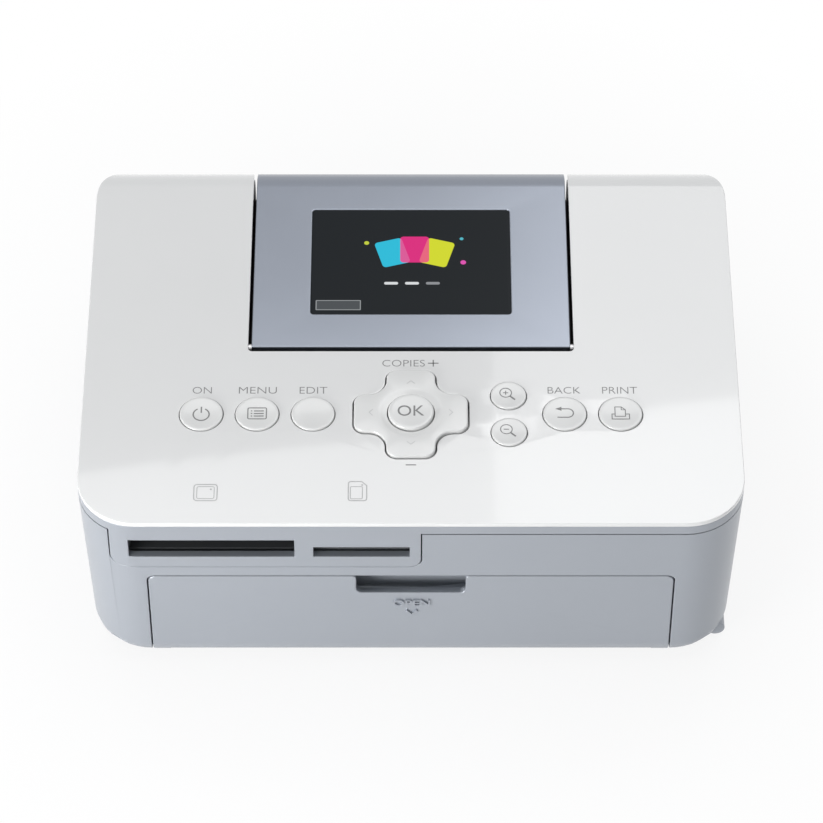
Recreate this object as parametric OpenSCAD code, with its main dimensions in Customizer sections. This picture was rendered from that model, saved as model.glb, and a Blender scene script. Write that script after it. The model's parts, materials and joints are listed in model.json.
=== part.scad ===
/* [Body] */
// Width of the body, left to right
body_w = 178; // [160:0.5:200]
// Depth of the body, front to rear
body_d = 135; // [122:0.5:150]
// Height from the surface it stands on to the top plate
body_h = 60.5; // [56:0.5:68]
// Corner radius of the plan outline
corner_r = 16; // [12:0.5:20]
// Thickness of the case walls
wall = 2.2; // [1.8:0.1:2.6]
// How far the side walls lean in from the parting line to the bottom
side_draft = 1.9; // [0.5:0.1:2.5]
// How far the front and rear walls lean in
front_draft = 0.6; // [0:0.1:1]
// Radius of the roll along the bottom edge
bottom_r = 6; // [5:0.25:7]
// Radius of the roll along the top rear edge
rear_r = 12; // [10:0.5:13]
// Height of the rim from the top to the parting line
rim_h = 4.5; // [4:0.1:5]
// Visible seam between neighbouring casing pieces
seam = 0.3; // [0.2:0.05:0.4]
// Thickness of the white top plate
plate_t = 1.5; // [1.2:0.1:1.8]
// Thickness of the deck under the top plate
deck_t = 2; // [1.6:0.1:2.2]
// Height of the locating skirt below the parting line
skirt_h = 2.5; // [2:0.1:3]
// Thickness of the locating skirt
skirt_t = 1.2; // [1:0.1:1.5]

/* [Feet and bottom] */
// Height of the rubber feet
foot_h = 1.8; // [1.5:0.1:2.2]
// Radius of each rubber foot
foot_r = 5.5; // [4:0.5:6.5]
// Distance of the feet's middles from the body's sides
foot_side = 23; // [20:1:28]
// Distance of the feet's middles from the front and rear
foot_end = 21.5; // [19:0.5:27]
// Distance of the bottom plate from the body's sides
base_side = 10; // [9.5:0.25:11]
// Distance of the bottom plate from the front
base_front_in = 9.1; // [8.5:0.1:9.5]
// Distance of the bottom plate from the rear
base_rear_in = 7.3; // [7.1:0.1:7.7]
// Radius of the case screws' thread
screw_r = 1.5; // [1.2:0.1:1.7]
// Radius of the case screws' head
screw_head_r = 2.8; // [2.4:0.1:3]
// Height of the case screws' head
screw_head_h = 1; // [0.8:0.1:1.2]
// Length of the case screws' thread above the bottom plate
screw_grip = 8; // [6:0.5:10]
// Radius of the posts that take the case screws
case_post_r = 2.6; // [2.4:0.1:3]

/* [Keys] */
// Distance of the key row behind the front
row_in = 38.05; // [37.5:0.05:38.5]
// Pitch of the round keys
key_pitch = 15.1; // [15:0.05:15.4]
// Across place of the first key beside the four-way key
key_first = 26.45; // [26.2:0.05:26.8]
// Cap radius of the large round keys
key_r = 5.85; // [5.5:0.05:6]
// Cap radius of the zoom keys
zoom_r = 4.8; // [4.4:0.05:5]
// Half distance between the zoom keys
zoom_dy = 6.5; // [6.4:0.05:6.8]
// Radial gap between a key cap and its hole
key_gap = 0.2; // [0.15:0.01:0.25]
// How far the caps stand proud of the plate
key_proud = 0.4; // [0.2:0.1:0.6]
// Broken edge round the top of a cap
key_edge = 0.4; // [0.2:0.05:0.6]
// Width of the flange that holds a cap under the deck
flange_w = 1.05; // [0.8:0.05:1.1]
// Travel of the keys
key_travel = 0.3; // [0.2:0.05:0.35]
// Half length of the four-way key's arms
dpad_l = 15.4; // [15:0.1:15.8]
// Half width of the four-way key's arms
dpad_hw = 6.6; // [6.2:0.1:6.8]
// Corner radius of the four-way key's arms
dpad_end_r = 3; // [2:0.25:3.5]
// Fillet radius between the arms
dpad_fillet = 5; // [4:0.25:6]
// Radial gap round the four-way key
dpad_gap = 0.4; // [0.35:0.05:0.5]
// How far the four-way key stands proud
dpad_proud = 0.8; // [0.5:0.1:1]
// Width of the four-way key's flange
dpad_flange = 1.4; // [1:0.1:1.6]
// Cap radius of the OK key
ok_r = 6.2; // [6:0.05:6.25]
// Radius of the hole for the OK key
ok_hole_r = 6.5; // [6.45:0.05:6.6]
// How far the OK key stands proud
ok_proud = 1.4; // [1:0.1:1.6]
// Width of the ring that the four-way key tips on
pivot_w = 1.8; // [1.4:0.1:2]
// Radius of the rubber domes under the round keys
dome_r = 3.5; // [3:0.1:4]
// Radius of the rubber domes under the four-way key
small_dome_r = 2.2; // [1.8:0.1:2.4]

/* [Screen] */
// Half width of the recess for the screen unit
well_hx = 44.6; // [44.3:0.1:45]
// Distance of the recess behind the key row
well_off = 22.85; // [22.6:0.05:23.1]
// Side gap between the screen unit and the recess
screen_side_gap = 0.9; // [0.6:0.1:1]
// Front gap between the screen unit and the recess
screen_front_gap = 1.5; // [1.4:0.05:1.7]
// Depth of the recess at the front
well_depth_front = 9.5; // [9.3:0.1:9.9]
// Depth of the recess at the rear
well_depth_rear = 16.3; // [15.9:0.1:16.5]
// Wall thickness of the recess
well_t = 1.5; // [1.3:0.1:1.6]
// Radius of the plate's cut-out at the recess's front corners
well_r = 1.2; // [0.5:0.1:1.4]
// Width of the recess's fixing flanges
well_flange_w = 3.3; // [2.5:0.1:4]
// Gap under the screen unit
screen_under_gap = 0.8; // [0.6:0.1:0.9]
// Wall thickness of the screen unit
bezel_t = 1.6; // [1.4:0.1:1.8]
// Half width of the screen window
window_hx = 27.75; // [26:0.25:30]
// Distance of the window behind the screen unit's front edge
window_front_in = 12.1; // [11:0.1:13]
// Distance of the window in front of the roll at the rear
window_rear_in = 8.8; // [8:0.1:12]
// How far the display reaches past the window
module_lap = 2.5; // [2:0.1:3]
// Thickness of the display
module_t = 4; // [3:0.1:4.5]
// Depth of the hinge axis below the top
hinge_drop = 2.9; // [2.8:0.05:3]
// Distance of the hinge axis behind the unit's front edge
hinge_back = 2; // [1.9:0.05:2.1]
// Radius of the screen's hinge pins
hinge_pin_r = 1.2; // [1:0.05:1.3]

/* [Card slots] */
// Distance of the card-slot tab from the body's left side
tab_in = 8.7; // [8.4:0.1:9]
// Depth of the tab's lower edge below the top
tab_drop = 18.4; // [18.2:0.1:18.5]
// Corner radius of the tab
tab_r = 3.2; // [2.5:0.1:3.5]
// Distance of the larger slot from the tab's left edge
large_slot_in = 5.1; // [4.6:0.1:5.4]
// Width of the larger slot
large_slot_w = 44.2; // [43.8:0.1:44.6]
// Height of the larger slot
large_slot_h = 6.9; // [6.5:0.1:7]
// Distance between the two slots
slot_between = 5; // [4.6:0.1:5.4]
// Width of the smaller slot
small_slot_w = 25.7; // [25.2:0.1:26]
// Height of the smaller slot
small_slot_h = 4; // [3.6:0.1:4.2]
// Distance of the smaller slot from the tab's right edge
small_slot_in = 3; // [2.6:0.1:3.4]
// Depth of the lower edge of both card slots below the top
slot_drop = 14.1; // [13.9:0.1:14.3]
// Wall of the card guides
slot_t = 1.3; // [1:0.1:1.4]
// Depth of the larger card guide
large_slot_depth = 26.6; // [25:0.2:26.6]
// Depth of the smaller card guide
small_slot_depth = 19; // [18:0.2:19]

/* [Front door] */
// Distance of the front door from the body's sides
door_in = 18.4; // [18:0.1:20]
// Depth of the door's upper edge below the top
door_drop = 22.8; // [22.3:0.1:23.5]
// Corner radius of the door
door_r = 2.2; // [1.5:0.1:3]
// Gap round the door
door_gap = 0.35; // [0.3:0.05:0.45]
// Half width of the finger notch
notch_hx = 14.7; // [12:0.1:16]
// Radius of the finger notch's lower corners
notch_low_r = 1.7; // [1:0.1:2.5]
// Radius where the finger notch meets the door's upper edge
notch_top_r = 1.1; // [0.6:0.1:1.6]
// Depth of the finger notch below the door's upper edge
notch_h = 7.2; // [6.5:0.1:8]
// Depth of the finger pocket behind the notch
pocket_d = 3.6; // [3.3:0.1:3.8]
// Wall of the finger pocket
pocket_t = 1.3; // [1.1:0.1:1.5]
// Distance of the door's hinge axis behind the front
door_axis_in = 4.1; // [4:0.05:4.2]
// Height of the door's hinge axis
door_axis_z = 5.4; // [5.3:0.05:5.6]
// Radius of the door's hinge arms
door_arm_r = 2.6; // [2.4:0.05:2.7]
// Radius of the door's hinge pins
door_pin_r = 1.5; // [1.3:0.1:1.6]
// Running clearance between a pin and its bore, on the radius
pin_clear = 0.05; // [0.03:0.01:0.08]

/* [Ink cover] */
// Distance of the ink cover from the front
cover_front_in = 17.5; // [17.3:0.1:18]
// Distance of the ink cover from the rear
cover_rear_in = 13.5; // [13.3:0.1:14]
// Depth of the ink cover's upper edge below the top
cover_drop = 10.5; // [9.5:0.5:12.5]
// Distance of the cover's hinge axis from the body's right side
cover_axis_in = 5; // [4.9:0.05:5.1]
// Height of the cover's hinge axis
cover_axis_z = 3.6; // [3.5:0.05:3.7]
// Radius of the cover's hinge knuckles
knuckle_r = 2.5; // [2.2:0.05:2.6]
// Length of the cover's hinge knuckles
knuckle_l = 6; // [5:0.1:6.2]
// Length of the case's hinge lug in front of the cover
front_lug_l = 8.4; // [7:0.1:8.6]
// Radius of the cover's hinge pins
cover_pin_r = 1.2; // [1:0.05:1.3]

/* [Rear sockets] */
// Distance of the power inlet from the body's left side
dc_in = 15; // [14.5:0.1:16]
// Radius of the power inlet's barrel
dc_r = 4.4; // [4:0.1:4.5]
// Radius of the power inlet's pin
dc_pin_r = 0.9; // [0.7:0.05:1.1]
// Distance of the data port from the power inlet
port_pitch = 11; // [10.5:0.1:12]
// Half width of the data port
port_hx = 3.9; // [3.6:0.1:4.2]
// Height of the data port
port_h = 4; // [3:0.1:4.2]
// Number of cooling slots
vent_n = 9; // [5:1:10]
// Pitch of the cooling slots
vent_pitch = 2.6; // [2.4:0.1:2.8]
// Width of a cooling slot
vent_w = 1.2; // [1:0.1:1.4]
// Height of a cooling slot
vent_h = 14; // [10:0.5:15]

/* [Paper path] */
// Distance of the side plates' inner faces from the body's sides
mech_in = 24.2; // [24:0.1:25]
// Thickness of the side plates
side_t = 1.2; // [1:0.1:1.4]
// Gap between the side plates and the paper bay
bay_gap = 3.3; // [2.8:0.1:4.5]
// Wall of the paper bay
bay_t = 1.5; // [1.3:0.1:1.8]
// Height of the paper path above the ground
path_z = 16.5; // [16.3:0.1:16.7]
// Distance of the rear paper slot from the side plates
rear_slot_in = 9.8; // [7:0.1:11]
// Height of the rear paper slot
rear_slot_h = 6; // [5:0.5:6]
// Thickness of the paper guide
guide_t = 1.2; // [1:0.1:1.4]

/* [Rollers and gears] */
// Distance of the capstan in front of the rear
capstan_in = 69.5; // [69.2:0.1:69.8]
// Distance of the feed roller in front of the capstan
feed_off = 14; // [13.5:0.1:14.5]
// Radius of the roller shafts
shaft_r = 2; // [1.8:0.05:2.1]
// Radius of the capstan roller
capstan_r = 4; // [3.8:0.05:4.05]
// Radius of the platen roller
platen_r = 5.5; // [5.3:0.05:5.55]
// Radius of the feed roller's tyres
feed_r = 6; // [5.8:0.1:6.2]
// Length of a feed tyre
tyre_l = 8; // [6:0.5:10]
// Distance of the feed tyres from the middle
tyre_x = 6; // [5:0.5:8]
// Radius of the pinch roller
pinch_r = 2.6; // [2.4:0.05:2.7]
// Radius of the pinch roller's shaft
pinch_shaft_r = 1.3; // [1.1:0.05:1.5]
// Length of one sleeve of the pinch roller
pinch_l = 26; // [22:0.5:28]
// Pitch of the pinch roller's sleeves
pinch_pitch = 30; // [29:0.5:31]
// Wall of the shaft bushes
bush_t = 1.2; // [1:0.05:1.3]
// Width of the gears
gear_w = 3.6; // [3:0.1:3.8]
// Radius of the drive motor
motor_r = 10.5; // [9.5:0.1:10.8]
// Radius of the ribbon motor
ribbon_motor_r = 8.5; // [8:0.1:9]
// Radius of both motors' shafts
motor_shaft_r = 1; // [0.8:0.05:1.1]

/* [Head and ink] */
// Radius of the head arm's pivot shaft
arm_pin_r = 2; // [1.8:0.1:2.2]
// Thickness of the head arm
arm_t = 1.6; // [1.4:0.1:1.8]
// Thickness of the head arm's ears
ear_t = 3; // [2.5:0.1:3.5]
// Distance of the thermal head's ends from the side plates
head_in = 12.8; // [12:0.1:14]
// Width of the thermal head, front to rear
head_w = 6.5; // [6:0.1:6.8]
// Thickness of the thermal head
head_t = 1.6; // [1.4:0.1:1.8]
// Distance of the ink cassette behind the capstan
ink_off = 7; // [6.7:0.1:7.2]
// Depth of the ink cassette, front to rear
ink_d = 49; // [48:0.1:49.2]
// Depth of each roll's housing, front to rear
ink_box = 19.5; // [19:0.1:19.8]
// Wall of the ink cassette
ink_t = 1.2; // [1:0.1:1.3]
// Thickness of the cassette's end webs
web_t = 2.8; // [2.4:0.1:3]
// Depth of the cassette's grip
grip_l = 20; // [18:0.5:20.5]
// Gap round the full ink roll inside its housing
roll_gap = 1.1; // [0.8:0.1:1.5]
// How much smaller the take-up roll is than the supply roll
roll_less = 1.5; // [0.5:0.1:2]
// Radius of the cores of the ink rolls
spool_core_r = 3.2; // [3:0.1:3.5]

/* [Hidden] */
$fn = 48;
hull_fn = 48;
cut = 1;
eps = 0.01;

body_hx = body_w / 2;
front_y = -body_d / 2;
rear_y = body_d / 2;
top_z = body_h;
part_z = body_h - rim_h;
plate_low = top_z - plate_t;
deck_low = plate_low - deck_t;
case_low = foot_h;
case_floor = case_low + wall;
case_top = part_z - seam;
roll_y = rear_y - rear_r;
roll_z = top_z - rear_r;

// Feet and bottom plate
foot_x = body_hx - foot_side;
foot_y = rear_y - foot_end;
base_hx = body_hx - base_side;
base_front = front_y + base_front_in;
base_rear = rear_y - base_rear_in;
base_gap = 0.2;
screw_seat = case_low + 1.2;

// Keys
row_y = front_y + row_in;
key_top = top_z + key_proud;
key_low = deck_low - 1.4;
flange_top = deck_low - 0.1;
stem_top = key_low - key_travel - 0.1;
sheet_t = 1.2;
sheet_low = key_low - 2.2 - sheet_t;
sheet_top = sheet_low + sheet_t;
sheet_in = 0.4;
board_t = 1.6;
key_x = [for (i = [0:2]) key_first + i * key_pitch];
dpad_low = key_low - 0.7;
dpad_flange_top = deck_low - 1;
dpad_recess_r = ok_r + flange_w + 0.35;
dpad_recess_top = deck_low + 0.35;
pivot_low = sheet_top + 0.35;
pivot_top = dpad_low - 0.4;
pivot_ri = dpad_recess_r + 0.3;
pivot_ro = pivot_ri + pivot_w;
small_dome_top = dpad_low - 0.8;
small_dome_at = dpad_l - 2.9;
board_hx = key_x[2] + key_r + 6.5;
board_front = row_y - dpad_l - 0.15;
board_left_front = row_y - key_r - 2.2;
board_rear = row_y + dpad_l + 2.05;
board_step = dpad_l + 2.6;
post_r = 2.2;
post_x = board_hx - 3;
post_ys = [board_left_front + 3.5, board_rear - 4];

// Screen unit
well_front = row_y + well_off;
well_floor_front = top_z - well_depth_front;
well_floor_rear = top_z - well_depth_rear;
unit_hx = well_hx - screen_side_gap;
unit_front = well_front + screen_front_gap;
unit_rear = rear_y - 0.1;
unit_low_front = well_floor_front + screen_under_gap;
unit_low_rear = well_floor_rear + screen_under_gap;
window_front = unit_front + window_front_in;
window_rear = roll_y - window_rear_in;
window_r = 1;
window_sink = 0.2;
axis_y = unit_front + hinge_back;
axis_z = top_z - hinge_drop;
well_out_hx = well_hx + well_t;
well_cut_gap = 0.1;
well_cut_hx = well_out_hx + well_cut_gap;
flange_rear = roll_y - 6;

// Card slots
tab_left = tab_in - body_hx;
large_slot_left = tab_left + large_slot_in;
large_slot_right = large_slot_left + large_slot_w;
small_slot_left = large_slot_right + slot_between;
small_slot_right = small_slot_left + small_slot_w;
tab_right = small_slot_right + small_slot_in;
slot_low = top_z - slot_drop;
tab_low = top_z - tab_drop;
slot_y = front_y + wall + 0.9;
slot_lip = 0.2;
slot_lip_z = 0.1;
main_board_t = 1.6;
main_board_top = slot_low - slot_t - 0.8;
main_board_low = main_board_top - main_board_t;

// Screws through the bottom plate stand in posts from the deck: [across, front to rear]
case_posts = [
    [13 - body_hx, front_y + 33.5],
    [body_hx - 15, front_y + 33.5],
    [body_hx - 19.5, rear_y - 10.6],
    [13 - body_hx, rear_y - 37]
];

// Front door and ink cover
door_hx = body_hx - door_in;
door_top = top_z - door_drop;
door_axis_y = front_y + door_axis_in;
pocket_hx = notch_hx + 1;
pocket_rear = front_y + wall + pocket_d;
pocket_low = door_top - notch_h - 2.6;
cheek_x = door_hx + 0.6;
cheek_t = 3;
cover_front = front_y + cover_front_in;
cover_rear = rear_y - cover_rear_in;
cover_top = top_z - cover_drop;
cover_axis_x = body_hx - cover_axis_in;
cover_pin_l = 4.5;
lug_l = 6;
lug_r = knuckle_r + 0.1;
door_swing_r = base_front - door_axis_y - seam;

// Rear sockets and openings
dc_x = dc_in - body_hx;
dc_z = main_board_top + 5;
dc_wall = 1.4;
dc_front = rear_y - 17.5;
dc_block_rear = rear_y - 5.9;
port_front = rear_y - 11.5;
port_x = dc_x + port_pitch;
port_t = 0.4;
vent_x = body_hx - 38.5;
vent_top = tab_low - 0.1;

// Mechanism between the side plates
side_hx = body_hx - mech_in;
side_out = side_hx + side_t;
side_top = main_board_low - 1.6;
side_rear = rear_y - 7.5;
capstan_y = rear_y - capstan_in;
feed_y = capstan_y - feed_off;
side_front = feed_y - 14;
bay_hx = side_hx - bay_gap - bay_t;
bay_front = base_front + 0.4;
bay_rear = feed_y + 8;
bay_roof_rear = feed_y - 10;
bay_low = case_floor;
bay_top = door_top - 0.2;
rear_slot_hx = side_hx - rear_slot_in;
board_post_r = 2.5;
board_post_xs = [-bay_hx + 10, bay_hx - 10];
board_post_ys = [bay_front + 6, bay_roof_rear - 4];
guide_front = capstan_y + 6;
guide_rear = rear_y - 4.5;
guide_top = path_z - 0.3;
rail_h = 1.3;

// Ink cassette
ink_front = capstan_y + ink_off;
ink_rear = ink_front + ink_d;
ink_low = path_z + 1.7;
ink_top = side_top - 3.3;
ink_mid_z = (ink_low + ink_top) / 2;
ink_left = bay_gap + bay_t - side_hx;
ink_right = base_hx + 1.4;
ink_web = side_hx - 8.8;
grip_x = ink_right - grip_l;
supply_y = ink_front + ink_box / 2;
take_up_y = ink_rear - ink_box / 2;
supply_r = min(ink_box, ink_top - ink_low) / 2 - ink_t - roll_gap;
take_up_r = supply_r - roll_less;
ink_gap_mid = (ink_front + ink_rear) / 2;
spool_hx = side_hx - 10.8;
slit_l = 4;

// Gears: tooth module and tooth counts
gear_m = 0.5;
capstan_n = 30;
feed_n = 40;
idler_n = 36;
platen_n = 25;
pinion_n = 12;

function mesh(n1, n2) = gear_m * (n1 + n2) / 2;

// The phase of a gear at the end of a line of angle a from its mate
function mate(a, n1, phase1, n2) = a + 180 - (180 - n1 * (a - phase1)) / n2;
function angle_to(from, to) = atan2(to[1] - from[1], to[0] - from[0]);

// Rollers and gears: every centre is [front-to-rear, height]
capstan_at = [capstan_y, path_z - 0.1 - capstan_r];
feed_rise = sqrt(pow(mesh(capstan_n, feed_n), 2) - feed_off * feed_off);
feed_at = [feed_y, capstan_at[1] + feed_rise];
platen_at = [ink_gap_mid, path_z - platen_r];
pinch_at = [capstan_y, path_z + 0.1 + pinch_r];
pinion_angle = 60;
pinion_at = capstan_at + mesh(capstan_n, pinion_n) * [cos(pinion_angle), sin(pinion_angle)];
idler_line = platen_at - capstan_at;
idler_span = norm(idler_line);
idler_dir = idler_line / idler_span;
idler_d1 = mesh(capstan_n, idler_n);
idler_d2 = mesh(idler_n, platen_n);
idler_along = (pow(idler_d1, 2) - pow(idler_d2, 2) + pow(idler_span, 2)) / (2 * idler_span);
idler_off = sqrt(pow(idler_d1, 2) - pow(idler_along, 2));
idler_at = capstan_at + idler_along * idler_dir + idler_off * [-idler_dir[1], idler_dir[0]];
capstan_phase = 0;
feed_phase = mate(angle_to(capstan_at, feed_at), capstan_n, capstan_phase, feed_n);
pinion_phase = mate(pinion_angle, capstan_n, capstan_phase, pinion_n);
idler_phase = mate(angle_to(capstan_at, idler_at), capstan_n, capstan_phase, idler_n);
platen_phase = mate(angle_to(idler_at, platen_at), idler_n, idler_phase, platen_n);
shaft_end = side_out + 0.4;
gear_in = -side_out - 0.8;
gear_out = gear_in - gear_w;
platen_hx = side_hx - 13.8;
platen_gap = 0.8;
capstan_hx = rear_slot_hx;

// Motors
bracket_in = gear_out - 0.6;
bracket_out = bracket_in - side_t;
bracket_front = capstan_y - 8;
bracket_rear = capstan_y + 29.5;
bracket_low = path_z - 7.5;
bracket_top = side_top - 2.3;
bracket_posts = [
    [bracket_front + 3, bracket_top - 2.8],
    [bracket_rear - 5.5, bracket_top - 2.8],
    [bracket_rear - 3, path_z + 8.5]
];
bracket_post_r = 2;
motor_end = 5.3 - body_hx;
ribbon_motor_end = 5.5 - body_hx;
shaft_grip = 5;
dog_r = 4;
dog_pin_r = 0.9;

// Head
arm_at = [capstan_y + 0.5, side_top - 4.6];
arm_hy = 3;
arm_low = ink_top + 0.6;
head_hx = side_hx - head_in;
head_front = ink_gap_mid - head_w / 2;
head_rear = ink_gap_mid + head_w / 2;
head_low = path_z + 1;
window_xs = [-30, 0, 30];
window_l = 20;
fin_pitch = 3;
fin_gap = 1.4;
fin_depth = 1.6;
spring_r = 2.4;
spring_t = 0.7;
spring_x = head_hx - 12;
spring_y = ink_front + 1;
spring_top = floor_line(well_floor_front - well_t, well_floor_rear - well_t, spring_y + spring_r);

// Tie bars and lock lever
tie_r = 2.5;
tie_at = [[side_rear - 2, side_top - 5], [bay_roof_rear + tie_r + 0.6, side_top - 3.2]];
lever_at = [capstan_y - 2, path_z + 9.5];
lever_x = side_out + 0.4;
lever_t = 3;
lever_hub_r = 3.4;
lever_hw = 2.4;
lever_pin_r = 1.5;
lever_top = ink_top - 3;
lever_tab_l = 11;

// ---------- helpers ----------

module slab(x0, x1, y0, y1, z0, z1) translate([x0, y0, z0]) cube([x1 - x0, y1 - y0, z1 - z0]);

module rod_x(x0, x1, at, r) translate([x0, at[0], at[1]]) rotate([0, 90, 0]) cylinder(r = r, h = x1 - x0);

// Rods of length l from x0 outwards, one on each side
module rods_x(x0, x1, at, r) for (s = [-1, 1]) scale([s, 1, 1]) rod_x(x0, x1, at, r);

module rod_y(y0, y1, x, z, r) translate([x, y1, z]) rotate([90, 0, 0]) cylinder(r = r, h = y1 - y0);

module rod_z(z0, z1, x, y, r) translate([x, y, z0]) cylinder(r = r, h = z1 - z0);

// A drawing in front-to-rear and height, drawn out from x0 to x1
module along_x(x0, x1) translate([x0, 0, 0]) rotate([90, 0, 90]) linear_extrude(x1 - x0) children();

// A drawing in across and height, drawn out from y0 to y1
module along_y(y0, y1) translate([0, y1, 0]) rotate([90, 0, 0]) linear_extrude(y1 - y0) children();

module box2(x0, x1, y0, y1) translate([x0, y0]) square([x1 - x0, y1 - y0]);

module round_box2(x0, x1, y0, y1, r) {
    box2(x0 + r, x1 - r, y0, y1);
    box2(x0, x1, y0 + r, y1 - r);
    for (x = [x0 + r, x1 - r], y = [y0 + r, y1 - r]) translate([x, y]) circle(r);
}

module ring_x(x0, x1, at, ro, ri) difference() {
    rod_x(x0, x1, at, ro);
    rod_x(x0 - cut, x1 + cut, at, ri);
}

// ---------- casing forms ----------

module plan2(inset = 0) {
    round_box2(-body_w / 2 + inset, body_w / 2 - inset, front_y + inset, rear_y - inset, corner_r - inset);
}

// Side view of the body, rolled at the top rear, taken in by inset at the top and rear
module side_view2(inset = 0) {
    box2(front_y - cut, roll_y, -cut, top_z - inset);
    box2(front_y - cut, rear_y - inset, -cut, roll_z);
    intersection() {
        translate([roll_y, roll_z]) circle(rear_r - inset, $fn = 96);
        box2(roll_y - cut, rear_y, roll_z - cut, top_z);
    }
}

module side_view(inset = 0) along_x(-body_w, body_w) side_view2(inset);

function lean(z) = min(1, max(0, (part_z - z) / (part_z - case_low)));

module case_ring(z, inset) {
    r = corner_r - inset;
    x = body_w / 2 - side_draft * lean(z) - inset - r;
    y = body_d / 2 - front_draft * lean(z) - inset - r;
    for (sx = [-x, x], sy = [-y, y]) translate([sx, sy, z]) cylinder(r = r, h = eps, $fn = hull_fn);
}

// The case as a solid: t = 0 is its outside, t = wall its inside
module case_solid(t, top) hull() {
    case_ring(top - eps, t);
    for (a = [0:22.5:90])
        case_ring(case_low + t + (bottom_r - t) * (1 - sin(a)), t + (bottom_r - t) * (1 - cos(a)));
}

module case_shell(top) difference() {
    intersection() {
        case_solid(0, top);
        side_view();
    }
    intersection() {
        case_solid(wall, top + cut);
        side_view(wall);
    }
}

// Front view of the card-slot tab, grown by g
module tab2(g = 0) {
    box2(tab_left - g + tab_r, tab_right + g - tab_r, tab_low - g, part_z + cut);
    box2(tab_left - g, tab_right + g, tab_low - g + tab_r, part_z + cut);
    for (x = [tab_left - g + tab_r, tab_right + g - tab_r]) translate([x, tab_low - g + tab_r]) circle(tab_r);
}

module card_openings() {
    slab(large_slot_left, large_slot_right, front_y - cut, slot_y + cut, slot_low, slot_low + large_slot_h);
    slab(small_slot_left, small_slot_right, front_y - cut, slot_y + cut, slot_low, slot_low + small_slot_h);
}

// ---------- keys ----------

// Four-way outline grown by g
module dpad2(g = 0) {
    hw = dpad_hw + g;
    l = dpad_l + g;
    f = dpad_fillet - g;
    round_box2(-l, l, -hw, hw, dpad_end_r + g);
    round_box2(-hw, hw, -l, l, dpad_end_r + g);
    difference() {
        box2(-hw - f, hw + f, -hw - f, hw + f);
        for (x = [-hw - f, hw + f], y = [-hw - f, hw + f]) translate([x, y]) circle(f);
    }
}

module key_holes() {
    for (x = [-key_x[2], -key_x[1], -key_x[0], key_x[1], key_x[2]])
        translate([x, row_y]) circle(key_r + key_gap);
    for (y = [-zoom_dy, zoom_dy]) translate([key_x[0], row_y + y]) circle(zoom_r + key_gap);
    translate([0, row_y]) dpad2(dpad_gap);
}

module round_key(x, y, r) color("whitesmoke") translate([x, y, 0]) {
    cap(r, key_low, key_top);
    rod_z(key_low, flange_top, 0, 0, r + flange_w);
}

// A cap from z0 to z1 with its upper edge broken
module cap(r, z0, z1)
    rotate_extrude() polygon([[0, z0], [r, z0], [r, z1 - key_edge], [r - key_edge, z1], [0, z1]]);

// ---------- casing pieces ----------

module top_plate() color("white") difference() {
    intersection() {
        translate([0, 0, part_z]) linear_extrude(rim_h) plan2();
        along_x(-body_w, body_w) difference() {
            side_view2();
            side_view2(plate_t);
        }
    }
    linear_extrude(body_h * 2) round_box2(-well_hx, well_hx, well_front, body_d, well_r);
    linear_extrude(body_h * 2) key_holes();
}

module upper_frame() color("silver") {
    difference() {
        intersection() {
            translate([0, 0, part_z]) linear_extrude(rim_h) plan2();
            side_view(plate_t);
        }
        intersection() {
            translate([0, 0, part_z - cut]) linear_extrude(deck_low - part_z + cut) plan2(wall);
            side_view(plate_t + deck_t);
        }
        slab(-well_cut_hx, well_cut_hx, well_front - well_t - well_cut_gap, body_d, 0, body_h * 2);
        linear_extrude(body_h * 2) key_holes();
    }
    // locating skirt inside the case
    difference() {
        intersection() {
            translate([0, 0, part_z - skirt_h])
                linear_extrude(deck_low - part_z + skirt_h + cut / 2) plan2(wall + seam);
            side_view(plate_t + deck_t - seam);
        }
        translate([0, 0, part_z - skirt_h - cut]) linear_extrude(body_h) plan2(wall + seam + skirt_t);
        slab(-well_cut_hx, well_cut_hx, 0, body_d, 0, body_h * 2);
        slab(tab_left - wall, tab_right + wall, front_y, front_y + corner_r, 0, body_h * 2);
    }
    // card-slot tab
    difference() {
        intersection() {
            translate([0, 0, tab_low]) linear_extrude(deck_low - tab_low) difference() {
                plan2();
                plan2(wall);
            }
            along_y(front_y - cut, front_y + corner_r) tab2();
        }
        card_openings();
    }
    for (x = [-post_x, post_x], y = post_ys) rod_z(sheet_low, deck_low, x, y, post_r);
    difference() {
        for (p = case_posts) rod_z(case_floor, deck_low, p[0], p[1], case_post_r);
        for (p = case_posts) rod_z(case_floor - cut, case_floor + screw_grip + 1, p[0], p[1], screw_r);
    }
}

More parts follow.
